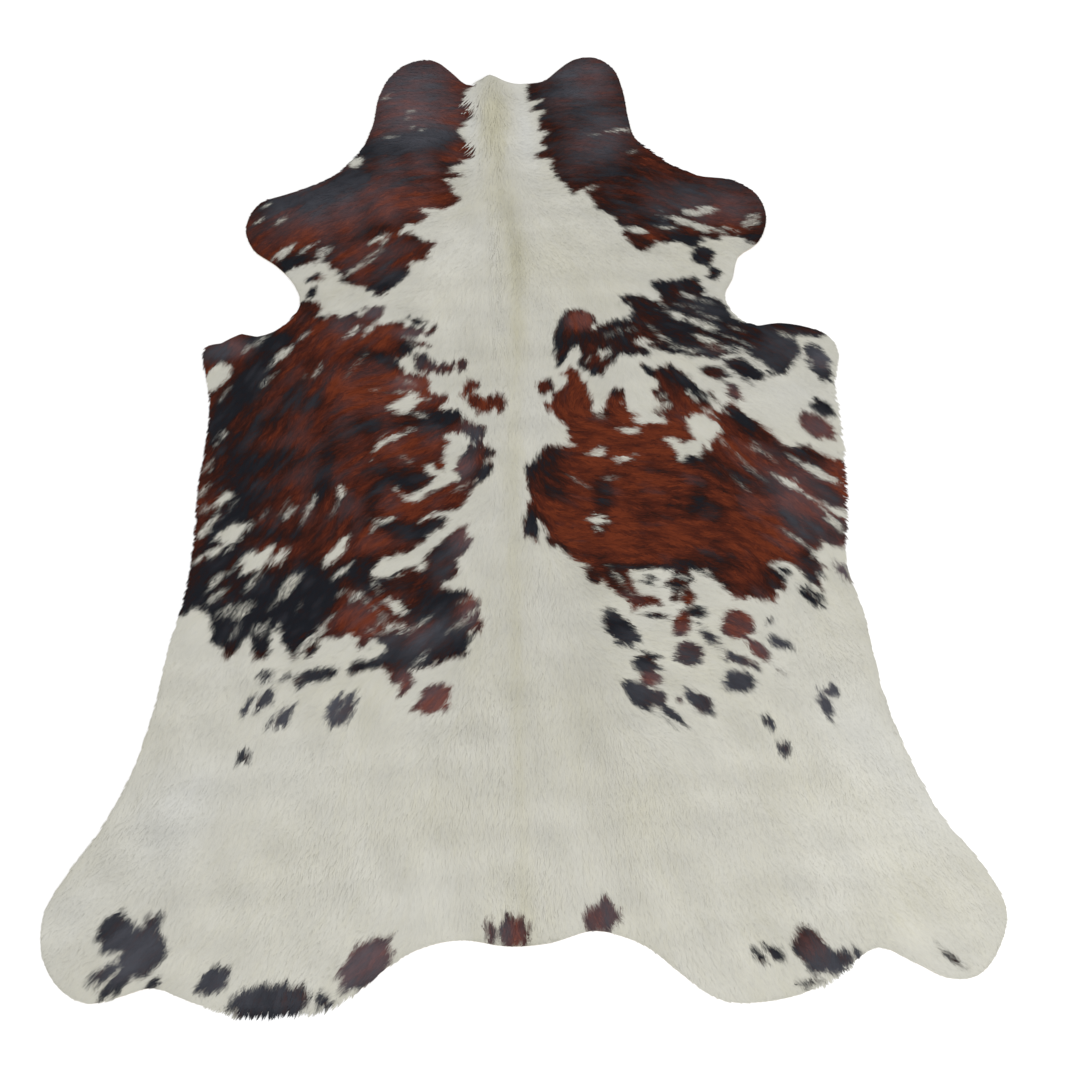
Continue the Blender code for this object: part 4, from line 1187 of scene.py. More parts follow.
@dataclass
class Skin:
    """The tanned skin with its dense undercoat: a closed sheet, suede below, hair above.

    Its nets keep a share `rim_gap` of their pitch off the rim, and the strand map has `strands`
    units to the metre.
    """

    outline: Outline
    shape: CoatShape
    markings: Markings
    undercoat: float = 0.84
    pitch: float = 0.0085
    under_pitch: float = 0.030
    rim_pitch: float = 0.007
    rim_gap: float = 0.6
    sharp: float = 50.0
    strands: float = 40.0

    def _rim(self) -> Array:
        """The rim with points about rim_pitch apart.

        Returns:
            n x 2 places in order.
        """
        ring = self.outline.rim
        closed = np.concatenate((ring, ring[:1]))
        along = np.concatenate(([0.0], np.cumsum(np.linalg.norm(np.diff(closed, axis=0), axis=1))))
        at = np.linspace(0.0, along[-1], int(along[-1] / self.rim_pitch), endpoint=False)
        return np.stack([np.interp(at, along, closed[:, k]) for k in (0, 1)], axis=1)

    def _net(self, rim: Array, pitch: float) -> tuple[Array, Array]:
        """Triangles between the rim and a grid of even triangles inside it.

        Args:
            rim: places of the rim in order, which stay the net's first places.
            pitch: step of the grid.

        Returns:
            All places and the faces, counter-clockwise from above.
        """
        grid = hexagonal(rim.min(axis=0), rim.max(axis=0), pitch)
        flat = np.concatenate((rim, grid[self.outline.deep(grid) > self.rim_gap * pitch]))
        ring = list(range(len(rim)))
        edges = list(zip(ring, ring[1:] + ring[:1]))
        cut = delaunay_2d_cdt([Vector(p) for p in flat], edges, [ring], 1, 1e-7)
        order = np.array([origin[0] for origin in cut[3]])
        return flat, order[np.array(cut[2])]

    def height(self, places: Array) -> Array:
        """Top of the undercoat: the skin and most of the coat's height over it."""
        skin = self.shape.skin
        return skin + self.undercoat * (self.shape.height(places) - skin)

    def build(self) -> Piece:
        """Cut the sheet: a fine net above, a coarse one below and a wall round both.

        Returns:
            The sheet's object, with the hair's slot above and the suede's below.
        """
        rim = self._rim()
        above, top = self._net(rim, self.pitch)
        below, bottom = self._net(rim, self.under_pitch)
        count = len(above)
        wall = np.arange(len(rim))
        after = np.roll(wall, -1)
        sides = np.concatenate((np.stack((wall + count, after + count, after), axis=1),
                                np.stack((wall + count, after, wall), axis=1)))
        height = self.height(above)
        height[:len(rim)] = self.shape.skin
        points = np.concatenate((np.column_stack((above, height)),
                                 np.column_stack((below, np.zeros(len(below))))))
        faces = np.concatenate((top, bottom[:, ::-1] + count, sides))
        piece = new_piece("hide_skin", points, faces, True)
        piece.data.set_sharp_from_angle(angle=math.radians(self.sharp))
        store_paint(piece, self.markings.paint(points[:, :2]), 1)
        store(piece, "lie", np.tile((0.5, 0.5, 0.5), (len(points), 1)))
        flat = points[:, :2] - points[:, :2].min(axis=0)
        store_uv(piece, "strand", (flat * self.strands)[faces.ravel()])
        slots = np.zeros(len(faces), np.int32)
        slots[len(top):] = 1
        piece.data.polygons.foreach_set("material_index", slots)
        return piece


@dataclass
class Coat:
    """The laid coat: closed tapering locks, rooted in the skin, over all of its upper side.

    A lock is a kite of two faces on top and two below: root, left and right shoulder, and tip.
    Ranges are shares by which a size varies, and swing and roll are in degrees. A root stands
    `sunk` deep in the undercoat, and shoulders at least `rise` over the line from root to tip.
    """

    outline: Outline
    shape: CoatShape
    flow: Flow
    markings: Markings
    skin: Skin
    seed: int = 9
    spacing: float = 0.00378
    jitter: float = 0.42
    rim_gap: float = 0.0012
    swing: float = 7.0
    swells: tuple[Swell, ...] = (Swell(0.20, 0.035, 51), Swell(0.10, 0.012, 52))
    length: float = 0.027
    length_range: tuple[float, float] = (0.78, 1.22)
    shortest: float = 0.003
    spine_gain: float = 0.40
    spine_half_width: float = 0.035
    spine_rise: tuple[float, float] = (-0.15, 0.25)
    reach_range: tuple[float, float] = (0.25, 1.0)
    width: float = 0.0036
    width_range: tuple[float, float] = (0.7, 1.25)
    roll: float = 8.0
    shoulder: float = 0.55
    sunk: float = 0.0005
    rise: float = 0.0003
    play: float = 0.0001
    clump: float = 0.010
    clump_seed: int = 77
    clumps: int = 65536
    gather: float = 0.40
    bend_up: float = 0.84
    stray: float = 0.20
    dark_swell: Swell = Swell(0.05, 0.009, 53)
    painted: tuple[float, ...] = (0.40, 0.72, 0.72, 0.98)
    names: tuple[str, ...] = ("coat_neck", "coat_shoulders", "coat_flanks", "coat_rump")

    def _roots(self, rng: Random) -> Array:
        """Roots on a jittered grid of even triangles, a little inside the rim.

        Args:
            rng: source of the jitter.

        Returns:
            n x 2 places.
        """
        rim = self.outline.rim
        roots = hexagonal(rim.min(axis=0), rim.max(axis=0), self.spacing)
        roots = roots + rng.uniform(-self.jitter, self.jitter, roots.shape) * self.spacing
        return roots[self.outline.deep(roots) > self.rim_gap]

    def _allowed(self, places: Array) -> Array:
        """How far past the rim a lock may reach: the plain fringe, or the longest one there.

        A fringe has its full reach near its middle, and falls off past 0.7 of its half sizes.

        Args:
            places: n x 2.

        Returns:
            n distances.
        """
        reach = np.full(len(places), PLAIN_FRINGE)
        for fringe in FRINGES:
            x = (places[:, 0] - fringe.x) / fringe.half_width
            y = (places[:, 1] - fringe.y) / fringe.half_height
            share = np.exp(-np.maximum(x ** 2 + y ** 2 - 0.5, 0.0) * 2.0)
            reach = np.maximum(reach, PLAIN_FRINGE + (fringe.reach - PLAIN_FRINGE) * share)
        return reach

    def _trim(self, roots: Array, way: Array, length: Array, reach: Array) -> Array:
        """Shorten the locks, eight times over, by a little more than their tips pass their reach.

        Args:
            roots: n x 2.
            way: n x 2 unit vectors along the locks.
            length: n lengths.
            reach: n distances past the rim.

        Returns:
            n lengths.
        """
        for _ in range(8):
            over = -reach - self.outline.deep(roots + way * length[:, None])
            length = np.where(over > 0.0, length - 1.1 * over - 0.0004, length)
            length = np.maximum(length, self.shortest)
        return length

    def _gathered(self, tips: Array, way: Array) -> Array:
        """Draw tips sideways to the middle of their clump, one jittered middle a cell.

        Args:
            tips: n x 2.
            way: n x 2 unit vectors along the locks.

        Returns:
            n x 2 tips.
        """
        cell = np.floor(tips / self.clump).astype(int)
        code = (cell[:, 0] * 7919 + cell[:, 1] * 104729) % self.clumps
        jitter = np.random.default_rng(self.clump_seed).uniform(0.15, 0.85, (self.clumps, 2))
        middle = (cell + jitter[code]) * self.clump
        side = leftward(way)
        pull = ((middle - tips) * side).sum(axis=1)
        return tips + side * (self.gather * pull)[:, None]

    def _laid(self, roots: Array, rng: Random) -> tuple[Array, Array, Array]:
        """Lay each lock along the flow, swung a little, trimmed at the rim and clumped.

        Args:
            roots: n x 2.
            rng: source of the swings, lengths and reaches.

        Returns:
            n x 2 unit vectors, n lengths and n x 2 tips.
        """
        count = len(roots)
        turn = np.radians(rng.normal(0.0, self.swing, count))
        for swell in self.swells:
            turn = turn + swell.over(roots)
        way = swung(self.flow.at(roots), turn)
        length = self.length * rng.uniform(*self.length_range, count)
        off = self.shape.from_spine(roots)
        spine = fade(roots[:, 1], *self.spine_rise) * np.exp(-(off / self.spine_half_width) ** 2)
        length *= 1.0 + self.spine_gain * spine
        reach = self._allowed(roots) * rng.uniform(*self.reach_range, count)
        length = self._trim(roots, way, length, reach)
        tips = self._gathered(roots + way * length[:, None], way)
        past = -reach - self.outline.deep(tips)
        return way, length, tips - way * np.maximum(past, 0.0)[:, None]

    def _kites(self, roots: Array, way: Array, length: Array, tips: Array,
               rng: Random) -> Array:
        """Each lock's four points: sunk root, shoulders a share along and a half width aside, tip.

        Shoulders and tips stand between the undercoat and the coat's surface, each lock at its
        own share, and the shoulders stand over the straight line from root to tip.

        Args:
            roots: n x 2.
            way: n x 2 unit vectors along the locks.
            length: n lengths.
            tips: n x 2.
            rng: source of the widths, lifts and rolls.

        Returns:
            n x 4 x 3 points.
        """
        count = len(roots)
        half = 0.5 * self.width * rng.uniform(*self.width_range, count)
        half = half * np.sqrt(length / self.length)
        aside = leftward(way) * half[:, None]
        middle = roots + (tips - roots) * self.shoulder
        lift = rng.uniform(0.0, 1.0, count)
        roll = half * np.tan(np.radians(rng.normal(0.0, self.roll, count)))
        root_z = self.skin.height(roots) - self.sunk
        under = self.skin.height(tips)
        tip_z = under + (self.shape.height(tips) - under) * (0.20 + 0.80 * lift)
        under = self.skin.height(middle)
        mid = under + (self.shape.height(middle) - under) * (0.30 + 0.50 * lift)
        chord = root_z + (tip_z - root_z) * self.shoulder
        mid = np.maximum(mid, chord + self.rise)
        roll = np.clip(roll, chord - mid + self.play, mid - chord - self.play)
        return np.stack((np.column_stack((roots, root_z)),
                         np.column_stack((middle + aside, mid + roll)),
                         np.column_stack((middle - aside, mid - roll)),
                         np.column_stack((tips, tip_z))), axis=1)

    def build(self) -> list[Piece]:
        """Grow all locks and part them into pieces by where they stand along the hide.

        Returns:
            One object a name, from the neck to the rump.
        """
        rng = np.random.default_rng(self.seed)
        roots = self._roots(rng)
        count = len(roots)
        way, length, tips = self._laid(roots, rng)
        points = self._kites(roots, way, length, tips, rng)
        seen = roots[:, None] + (tips - roots)[:, None] * np.array(self.painted)[None, :, None]
        stray = np.repeat(rng.normal(0.0, self.stray, count), 4)
        # The second array is painted light: the cream's painted shade and the painted sheen
        marked, cast = self.markings.paint(seen.reshape(-1, 2), stray)
        marked[:, 1] += np.repeat(self.dark_swell.over(roots), 4)
        marked, cast = marked.reshape(-1, 4, 3), cast.reshape(-1, 4, 3)
        shade = rng.uniform(0.0, 1.0, count)
        return [self._piece(name, points[part], (marked[part], cast[part]), shade[part], rng)
                for name, part in zip(self.names, self._parts(roots))]

    def _parts(self, roots: Array) -> list[Array]:
        """Part the locks among the pieces, in rows from the neck down, left to right.

        Args:
            roots: n x 2.

        Returns:
            Numbers of the locks in each piece.
        """
        order = np.argsort(-roots[:, 1], kind="stable")
        ordered = []
        for part in np.array_split(order, len(self.names)):
            columns = math.ceil(math.sqrt(len(part)))
            row = np.arange(len(part)) // columns
            ordered.append(part[np.lexsort((roots[part, 0], row))])
        return ordered

    def _piece(self, name: str, points: Array, paint: tuple[Array, Array], shade: Array,
               rng: Random) -> Piece:
        """One piece of the coat from its locks' four points each.

        Args:
            name: the piece's name.
            points: n x 4 x 3: root, left and right shoulder, tip.
            paint: n x 4 x 3 values of the markings and n x 4 x 3 of the painted light.
            shade: n values from 0 to 1.
            rng: source of the locks' grain.

        Returns:
            The object with its attributes, UV maps and normals.
        """
        count = len(points)
        net = np.array(((0, 2, 1), (2, 3, 1), (0, 3, 2), (0, 1, 3)))
        faces = (np.arange(count)[:, None, None] * 4 + net[None]).reshape(-1, 3)
        flat = points.reshape(-1, 3)
        piece = new_piece(name, flat, faces, True)
        store_paint(piece, paint, 1)
        along = np.array((0.0, self.shoulder, self.shoulder, 1.0))
        strand = np.stack(((0.0, -0.5, 0.5, 0.0), along), axis=1)
        store_locks(piece, faces, shade, along, strand, rng)
        columns = math.ceil(math.sqrt(count))
        cell = np.arange(count)
        corner = np.stack((cell % columns, cell // columns), axis=1)[:, None, :]
        square = np.array(((0.0, 0.0), (0.0, 1.0), (1.0, 0.0), (1.0, 1.0)))[None]
        laid = ((corner + square) / columns).reshape(-1, 2)
        store_uv(piece, "OFBake", laid[faces.ravel()])
        bend_normals(piece, flat, faces, np.arange(len(faces)) % 4 < 2, self.bend_up)
        return piece


@dataclass
class Mane:
    """The mane: long curved locks along the neck's crest, thinning out into the spine's crest.

    neck_rise and dense_rise are the places along the hide between which the mane widens and
    lengthens, and fills up. Short of them, sparse is a lock's chance and short its share of the
    full length. tailward is added to half the hair's own direction.
    """

    outline: Outline
    shape: CoatShape
    flow: Flow
    markings: Markings
    seed: int = 17
    count: int = 2600
    tries: int = 15600
    reach: tuple[float, float] = (0.20, 1.030)
    strip: float = 0.012
    neck_rise: tuple[float, float] = (0.55, 0.85)
    dense_rise: tuple[float, float] = (0.55, 0.80)
    sparse: float = 0.22
    rim_gap: float = 0.002
    rings: int = 6
    length: float = 0.075
    length_range: tuple[float, float] = (0.6, 1.15)
    short: float = 0.55
    width: float = 0.0042
    width_range: tuple[float, float] = (0.6, 1.2)
    tailward: tuple[float, float] = (0.02, -1.2)
    swing: float = 0.10
    sway: Swell = Swell(0.18, 0.05, 61)
    curl: float = 0.20
    lift_range: tuple[float, float] = (0.75, 1.05)
    arch: float = 0.0006
    bend_up: float = 0.55

    def _roots(self, rng: Random) -> Array:
        """Roots in a strip along the spine that is densest on the neck.

        Args:
            rng: source of the places.

        Returns:
            n x 2 places.
        """
        y = rng.uniform(*self.reach, self.tries)
        wide = self.strip + self.strip * fade(y, *self.neck_rise)
        off = rng.uniform(-1.0, 1.0, self.tries) * wide
        chance = self.sparse + (1.0 - self.sparse) * fade(y, *self.dense_rise)
        keep = rng.uniform(0.0, 1.0, self.tries) < chance
        places = np.stack((off, y), axis=1)
        places[:, 0] -= self.shape.from_spine(places) - off
        keep &= self.outline.deep(places) > self.rim_gap
        return places[keep][:self.count]

    def _paths(self, root: Array, rng: Random) -> Array:
        """Paths of the locks: even steps along the hair and the tail's way, swung and curled.

        Args:
            root: n x 2.
            rng: source of the lengths, swings and curls.

        Returns:
            n x rings x 2 places.
        """
        count = len(root)
        neck = fade(root[:, 1], *self.neck_rise)
        length = self.length * rng.uniform(*self.length_range, count)
        length = length * (self.short + (1.0 - self.short) * neck)
        sway = rng.normal(0.0, self.swing, count) + self.sway.over(root)
        curl = rng.normal(0.0, self.curl, count)
        share = np.linspace(0.0, 1.0, self.rings)
        path = np.zeros((count, self.rings, 2))
        path[:, 0] = root
        for k in range(1, self.rings):
            way = 0.5 * self.flow.at(path[:, k - 1]) + np.array(self.tailward)
            way /= np.linalg.norm(way, axis=1)[:, None]
            way = swung(way, sway + curl * share[k] ** 1.5)
            path[:, k] = path[:, k - 1] + way * (length / (self.rings - 1))[:, None]
        return path

    def build(self) -> Piece:
        """Grow the locks: each a three-sided taper carried along a path that follows the hair.

        Its height rises from the skin to the coat's surface within its first third, with a low
        arch over it, and its half width falls with the root of what is left of its length.

        Returns:
            The mane's object.
        """
        rng = np.random.default_rng(self.seed)
        path = self._paths(self._roots(rng), rng)
        count = len(path)
        share = np.linspace(0.0, 1.0, self.rings)
        surface = self.shape.height(path.reshape(-1, 2)).reshape(count, self.rings)
        lift = rng.uniform(*self.lift_range, count)[:, None]
        arch = np.sin(np.pi * np.clip(share[None] * 0.9 + 0.1, 0.0, 1.0)) * self.arch
        skin = self.shape.skin
        rise = np.clip(share[None] * 3.2, 0.0, 1.0) ** 0.7
        height = skin + (surface - skin) * rise * lift + arch
        tangent = np.gradient(path, axis=1)
        tangent /= np.maximum(np.linalg.norm(tangent, axis=2), 1e-9)[:, :, None]
        half = 0.5 * self.width * rng.uniform(*self.width_range, count)[:, None]
        half = half * np.sqrt(np.clip(1.0 - share, 0.0, 1.0))[None] * (0.45 + 0.55 * rise)
        half = np.maximum(half, 0.00005)[..., None]
        aside = leftward(tangent) * half
        height = height[..., None]
        left = np.concatenate((path + aside, height), axis=2)
        right = np.concatenate((path - aside, height), axis=2)
        below = np.concatenate((path, height - half * 0.5 - 0.0002), axis=2)
        return self._piece(np.stack((left, right, below), axis=2), share, rng)

    def _piece(self, points: Array, share: Array, rng: Random) -> Piece:
        """The mane's object from its locks' rings.

        Args:
            points: n x rings x 3 x 3: left, right and lower point of each ring.
            share: how far along the lock each ring is.
            rng: source of the locks' shades.

        Returns:
            The object with its attributes, UV map and normals.
        """
        count = len(points)
        size = self.rings * 3
        at = np.arange(self.rings - 1)[:, None] * 3
        a, b, c = at, at + 1, at + 2
        net = np.stack([np.concatenate(f, axis=1) for f in (
            (a, b + 3, b), (a, a + 3, b + 3), (b, b + 3, c + 3), (b, c + 3, c),
            (c, c + 3, a + 3), (c, a + 3, a))], axis=1).reshape(-1, 3)
        last = size - 3
        net = np.concatenate((net, ((0, 1, 2), (last, last + 2, last + 1))))
        faces = (np.arange(count)[:, None, None] * size + net[None]).reshape(-1, 3)
        flat = points.reshape(-1, 3)
        piece = new_piece("mane", flat, faces, True)
        marked, cast = self.markings.paint(points[:, :, 2, :2].mean(axis=1))
        marked[:, 0] = 0.0
        store_paint(piece, (marked, cast), size)
        shade = rng.uniform(0.0, 1.0, count)
        along = np.repeat(share, 3)
        strand = np.stack((np.tile((-0.5, 0.5, 0.0), self.rings), along * 2.0), axis=1)
        store_locks(piece, faces, shade, along, strand, rng)
        kind = np.arange(len(faces)) % len(net)
        bend_normals(piece, flat, faces, (kind < len(net) - 2) & (kind % 6 < 2), self.bend_up)
        return piece


# ---------------------------------------------------------------- finishes

class Wire:
    """A value socket in a bench's tree, with the arithmetic that the finishes use."""

    def __init__(self, bench: "Bench", socket: Socket) -> None:
        """Keep the bench and the socket."""
        self.bench = bench
        self.socket = socket

    def _maths(self, operation: str, first: "Wire | float", second: "Wire | float") -> "Wire":
        """One Math node of an operation on two values."""
        made = self.bench.node("ShaderNodeMath", {"operation": operation}, {0: first, 1: second})
        return Wire(self.bench, made.outputs[0])

    def __add__(self, other: "Wire | float") -> "Wire":
        """self + other."""
        return self._maths("ADD", self, other)

    def __radd__(self, other: float) -> "Wire":
        """other + self."""
        return self._maths("ADD", other, self)

    def __sub__(self, other: "Wire | float") -> "Wire":
        """self - other."""
        return self._maths("SUBTRACT", self, other)

    def __rsub__(self, other: float) -> "Wire":
        """other - self."""
        return self._maths("SUBTRACT", other, self)

    def __mul__(self, other: "Wire | float") -> "Wire":
        """self * other."""
        return self._maths("MULTIPLY", self, other)

    def __rmul__(self, other: float) -> "Wire":
        """other * self."""
        return self._maths("MULTIPLY", other, self)


class Bench:
    """A material being made, and the one method that adds a node to it."""

    def __init__(self, name: str) -> None:
        """Start a material that has only its shader and output.

        Args:
            name: the material's name.
        """
        self.material = bpy.data.materials.new(name)
        self.material.use_nodes = True
        self.tree = self.material.node_tree
        self.shader = self.tree.nodes["Principled BSDF"]

    def node(self, kind: str, settings: dict | None = None,
             sockets: dict | None = None) -> bpy.types.Node:
        """Add a node.

        Args:
            kind: its type.
            settings: its properties, set first; "stops" are a ramp's places and colours.
            sockets: values, sockets or wires, by input name or number.

        Returns:
            The node.
        """
        made = self.tree.nodes.new(kind)
        for key, value in (settings or {}).items():
            if key == "stops":
                ramp = made.color_ramp.elements
                while len(ramp) < len(value):
                    ramp.new(1.0)
                for element, (place, colour) in zip(ramp, value):
                    element.position = place
                    element.color = (*colour, 1.0)
            else:
                setattr(made, key, value)
        for key, value in (sockets or {}).items():
            self.feed(made.inputs[key], value)
        return made

    def feed(self, socket: Socket, value: object) -> None:
        """Link a wire or a socket to a socket, or set its value.

        Args:
            socket: the socket that is fed.
            value: a wire, a socket, a number, or a colour.
        """
        source = value.socket if isinstance(value, Wire) else value
        if isinstance(source, Socket):
            self.tree.links.new(source, socket)
        else:
            socket.default_value = (*value, 1.0) if socket.type == "RGBA" else value

    def wire(self, made: bpy.types.Node, output: str | int = 0) -> Wire:
        """One of a node's outputs as a wire."""
        return Wire(self, made.outputs[output])

    def noise(self, place: Socket, scale: float, detail: float = 2.0,
              dimensions: str = "3D") -> Wire:
        """Cloudy noise over a place.

        Args:
            place: coordinates.
            scale: its clouds to the unit.
            detail: how many times finer clouds are added.
            dimensions: 2D or 3D.

        Returns:
            Its value, about 0.5 on average.
        """
        made = self.node("ShaderNodeTexNoise", {"noise_dimensions": dimensions},
                         {"Vector": place, "Scale": scale, "Detail": detail})
        return self.wire(made)

    def parts(self, attribute: str) -> list[Wire]:
        """The three values that an attribute of the piece keeps.

        Args:
            attribute: its name.

        Returns:
            One wire a value.
        """
        read = self.node("ShaderNodeAttribute", {"attribute_name": attribute})
        apart = self.node("ShaderNodeSeparateColor", None, {0: read.outputs["Color"]})
        return [self.wire(apart, k) for k in range(3)]

    def clamped(self, value: Wire) -> Wire:
        """A value kept between 0 and 1."""
        return self.wire(self.node("ShaderNodeClamp", None, {0: value}))

    def ramp(self, value: Wire, stops: tuple[tuple[float, Colour], ...]) -> Socket:
        """A colour from a value by a ramp of stops."""
        return self.node("ShaderNodeValToRGB", {"stops": stops}, {0: value}).outputs["Color"]

    def blend(self, share: Wire | float, first: object, second: object,
              how: str = "MIX") -> Socket:
        """Two colours mixed by a share.

        Args:
            share: how much of the second colour.
            first: a colour or a socket.
            second: a colour or a socket.
            how: MIX or MULTIPLY.

        Returns:
            The mixed colour's socket.
        """
        made = self.node("ShaderNodeMix", {"data_type": "RGBA", "blend_type": how})
        colours = [k for k in made.inputs if k.type == "RGBA"]
        self.feed(made.inputs[0], share)
        self.feed(colours[0], first)
        self.feed(colours[1], second)
        return next(k for k in made.outputs if k.type == "RGBA")

    def set_shader(self, values: dict) -> None:
        """Set or link the shader's inputs."""
        for key, value in values.items():
            self.feed(self.shader.inputs[key], value)


@dataclass(frozen=True)
class CoatFinish:
    """Short hair: its colours by markings, a grain of single hairs, matt with a soft sheen.

    Where a lock stands on a patch's edge, its hairs go over to the other colour one by one.
    The spreads are how much each quality varies by lock, and the grains by single hairs.
    Painted sheen is mixed over the coloured hair, and painted shade over the cream and the roots.
    """

    name: str = "coat hair"
    white: Colour = (0.580, 0.580, 0.548)
    cream: Colour = (0.540, 0.530, 0.468)
    yellow: Colour = (0.480, 0.460, 0.350)
    rust: Colour = (0.121, 0.0246, 0.0092)
    red_brown: Colour = (0.057, 0.0122, 0.0064)
    brown: Colour = (0.0190, 0.0066, 0.0048)
    # Black hair; its slight blue cast is painted reflection of the sky
    black: Colour = (0.0084, 0.0098, 0.0132)
    # Colour of the painted sheen: the sky's reflection painted over coloured hair
    painted_sheen: Colour = (0.178, 0.180, 0.212)
    roughness: float = 0.62
    gloss: float = 0.04
    rough_grain: float = 0.2
    grain_scale: tuple[float, float, float] = (5.0, 0.8, 1.0)
    tint_spread: float = 0.14
    dark_spread: float = 0.26
    dark_grain: float = 0.34
    edge_grain: float = 1.3
    # Painted shade at the locks' roots: a root is darker than its tip by this share
    painted_root_shade: float = 0.08
    light_spread: float = 0.05
    light_grain: float = 0.10
    shadow: float = 0.45

    def make(self) -> bpy.types.Material:
        """Mix the hair colours by the markings, then vary them by lock and by hair.

        Returns:
            The material.
        """
        bench = Bench(self.name)
        share, dark, tint = bench.parts("markings")
        shadow, painted_sheen, _ = bench.parts("cast")
        shade, along, twin = bench.parts("lie")
        strand = bench.node("ShaderNodeUVMap", {"uv_map": "strand"})
        drawn = bench.node("ShaderNodeMapping", {"vector_type": "POINT"},
                           {"Vector": strand.outputs[0], "Scale": self.grain_scale})
        grain = bench.noise(drawn.outputs[0], 1.0, dimensions="2D") - 0.5
        cream = bench.ramp(tint + (shade - 0.5) * self.tint_spread,
                           ((0.0, self.white), (0.5, self.cream), (1.0, self.yellow)))
        deep = dark + (twin - 0.5) * self.dark_spread + grain * self.dark_grain
        coloured = bench.ramp(deep, ((0.0, self.rust), (0.34, self.red_brown), (0.70, self.brown),
                                     (0.95, self.black)))
        # Painted sheen mixed over the coloured hair
        sheened = bench.blend(bench.clamped(painted_sheen), coloured, self.painted_sheen)
        cover = bench.clamped(share + share * (1.0 - share) * 4.0 * (grain * self.edge_grain))
        colour = bench.blend(cover, cream, sheened)
        # Painted shade darkens each lock towards its root; each lock also has its own brightness
        light = (1.0 - self.painted_root_shade) + along * self.painted_root_shade + (shade - 0.5) * self.light_spread
        light = light + grain * (self.light_grain + cover * self.light_grain)
        # Painted shade on the cream, from the markings
        light = light - shadow * (1.0 - cover) * self.shadow
        bright = bench.node("ShaderNodeCombineColor", None, {0: light, 1: light, 2: light})
        colour = bench.blend(1.0, colour, bright.outputs[0], "MULTIPLY")
        bench.set_shader({"Base Color": colour, "Specular IOR Level": self.gloss,
                          "Roughness": self.roughness + grain * self.rough_grain})
        return bench.material


@dataclass(frozen=True)
class SuedeFinish:
    """The flesh side and the cut edge: napped suede with soft blotches."""

    name: str = "suede flesh side"
    pale: Colour = (0.56, 0.50, 0.41)
    tan: Colour = (0.40, 0.33, 0.25)
    roughness: float = 0.82
    gloss: float = 0.15
    cloud_scale: float = 7.0
    nap_scale: float = 420.0
    nap_height: float = 0.0006
    nap_strength: float = 0.5

    def make(self) -> bpy.types.Material:
        """Blend two tans by a cloudy noise and raise a fine nap.

        Returns:
            The material.
        """
        bench = Bench(self.name)
        place = bench.node("ShaderNodeTexCoord").outputs["Object"]
        clouds = bench.noise(place, self.cloud_scale, 6.0)
        nap = bench.noise(place, self.nap_scale, 3.0)
        colour = bench.blend(clouds * 0.75 + nap * 0.25, self.tan, self.pale)
        bump = bench.node("ShaderNodeBump", None, {
            "Strength": self.nap_strength, "Distance": self.nap_height, "Height": nap})
        bench.set_shader({"Base Color": colour, "Roughness": self.roughness + (nap - 0.5) * 0.2,
                          "Specular IOR Level": self.gloss, "Normal": bump.outputs[0]})
        return bench.material


@dataclass(frozen=True)
class FloorFinish:
    """A plain pale studio floor."""

    name: str = "studio floor"
    colour: Colour = (0.93, 0.93, 0.93)
    uneven: float = 0.985
    scale: float = 3.0
    roughness: float = 0.9

    def make(self) -> bpy.types.Material:
        """A matt white with the faintest unevenness.

        Returns:
            The material.
        """
        bench = Bench(self.name)
        place = bench.node("ShaderNodeTexCoord").outputs["Object"]
        duller = tuple(self.uneven * k for k in self.colour)
        colour = bench.blend(bench.noise(place, self.scale), duller, self.colour)
        bench.set_shader({"Base Color": colour, "Roughness": self.roughness,
                          "Specular IOR Level": 0.0})
        return bench.material


# ---------------------------------------------------------------- studio

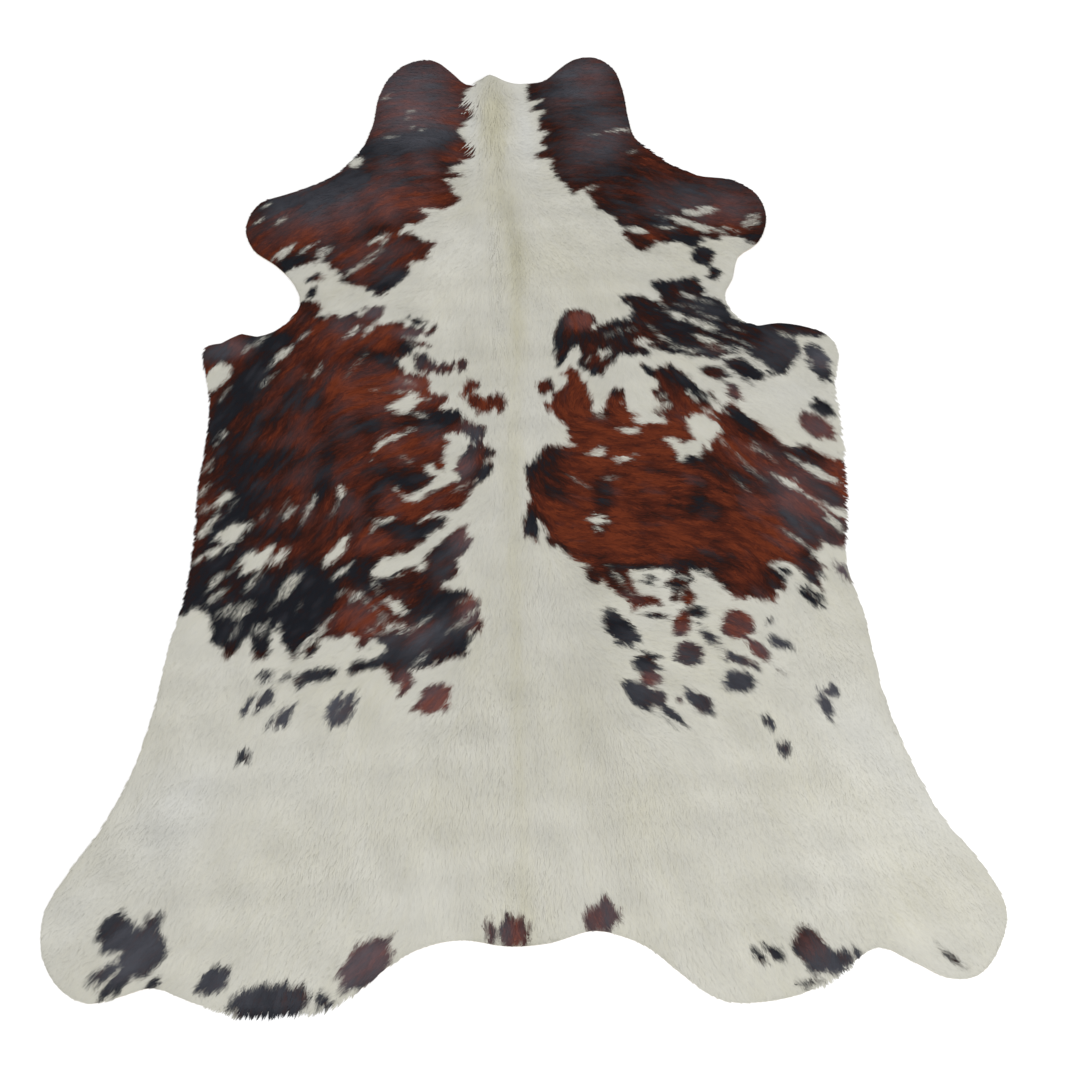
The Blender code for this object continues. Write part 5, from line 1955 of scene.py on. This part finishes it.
@dataclass(frozen=True)
class Studio:
    """Floor, lights and the camera at the photograph's viewing angle."""

    image: tuple[int, int] = (1080, 1081)
    place: tuple[float, float, float] = (*VIEW_FOOT, 1.92)
    tilt: float = 25.5
    focal_pixels: float = 1080.0
    sensor: float = 36.0
    floor_half: float = 6.0
    floor_top: float = -0.0005
    sky: float = 1.02
    key_power: float = 62.0
    key_size: tuple[float, float] = (2.4, 1.8)
    key_place: tuple[float, float, float] = (1.3, -2.6, 2.8)

    def build(self) -> None:
        """Lay the floor, hang the lights and stand the camera up."""
        half, top = self.floor_half, self.floor_top
        points = [(-half, -half, top), (half, -half, top), (half, half, top), (-half, half, top)]
        data = bpy.data.meshes.new("floor")
        data.from_pydata(points, [], [(0, 1, 2, 3)])
        floor = bpy.data.objects.new("floor", data)
        floor.data.materials.append(FloorFinish().make())
        bpy.context.scene.collection.objects.link(floor)
        self._lights()
        self._camera()

    def _lights(self) -> None:
        """An even white sky and one large soft lamp, high on the right beyond the rump."""
        world = bpy.data.worlds.new("studio")
        world.use_nodes = True
        back = world.node_tree.nodes["Background"]
        back.inputs["Color"].default_value = (1.0, 1.0, 1.0, 1.0)
        back.inputs["Strength"].default_value = self.sky
        bpy.context.scene.world = world
        lamp = bpy.data.lights.new("key", "AREA")
        lamp.shape = "RECTANGLE"
        lamp.size, lamp.size_y = self.key_size
        lamp.energy = self.key_power
        key = bpy.data.objects.new("key", lamp)
        key.location = self.key_place
        key.rotation_euler = (-key.location).to_track_quat("-Z", "Y").to_euler()
        bpy.context.scene.collection.objects.link(key)

    def _camera(self) -> None:
        """A camera whose focal length in pixels is the photograph's."""
        lens = bpy.data.cameras.new("camera")
        lens.sensor_fit = "AUTO"
        lens.sensor_width = self.sensor
        lens.lens = self.sensor * self.focal_pixels / max(self.image)
        lens.clip_end = 50.0
        camera = bpy.data.objects.new("camera", lens)
        camera.location = self.place
        camera.rotation_euler = (math.radians(self.tilt), 0.0, 0.0)
        bpy.context.scene.collection.objects.link(camera)
        bpy.context.scene.camera = camera
        bpy.context.scene.view_settings.view_transform = "Standard"


@dataclass
class Rug:
    """The whole rug: skin, coat and mane on one outline."""

    node: Piece
    flat: tuple[float, float] = (1.627, 2.203)
    area: float = 2.47

    def build(self) -> None:
        """Build and dress each piece, and log its name and faces."""
        outline = Outline(self.node)
        log.info("outline: %d points, lowest %s", len(outline.rim), outline.rim.min(axis=0))
        shape = CoatShape(outline)
        flow = Flow(outline)
        markings = Markings(flow)
        log.info("markings charted on %s", markings.chart.shape)
        hair = CoatFinish().make()
        sheet = Skin(outline, shape, markings)
        skin = sheet.build()
        skin.data.materials.append(hair)
        skin.data.materials.append(SuedeFinish().make())
        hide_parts("hide")
        report(skin)
        pieces = Coat(outline, shape, flow, markings, sheet).build()
        pieces.append(Mane(outline, shape, flow, markings).build())
        for piece in pieces:
            piece.data.materials.append(hair)
            report(piece)


def report(piece: Piece) -> None:
    """Say which piece was made and how many faces it has."""
    log.info("%s: %d faces", piece.name, len(piece.data.polygons))


def main() -> None:
    """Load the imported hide, dress it and set the studio."""
    logging.basicConfig(level=logging.INFO, format="%(message)s")
    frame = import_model()
    Rug(frame["nodes"]["hide"]).build()
    Studio().build()


if __name__ == "__main__":
    main()
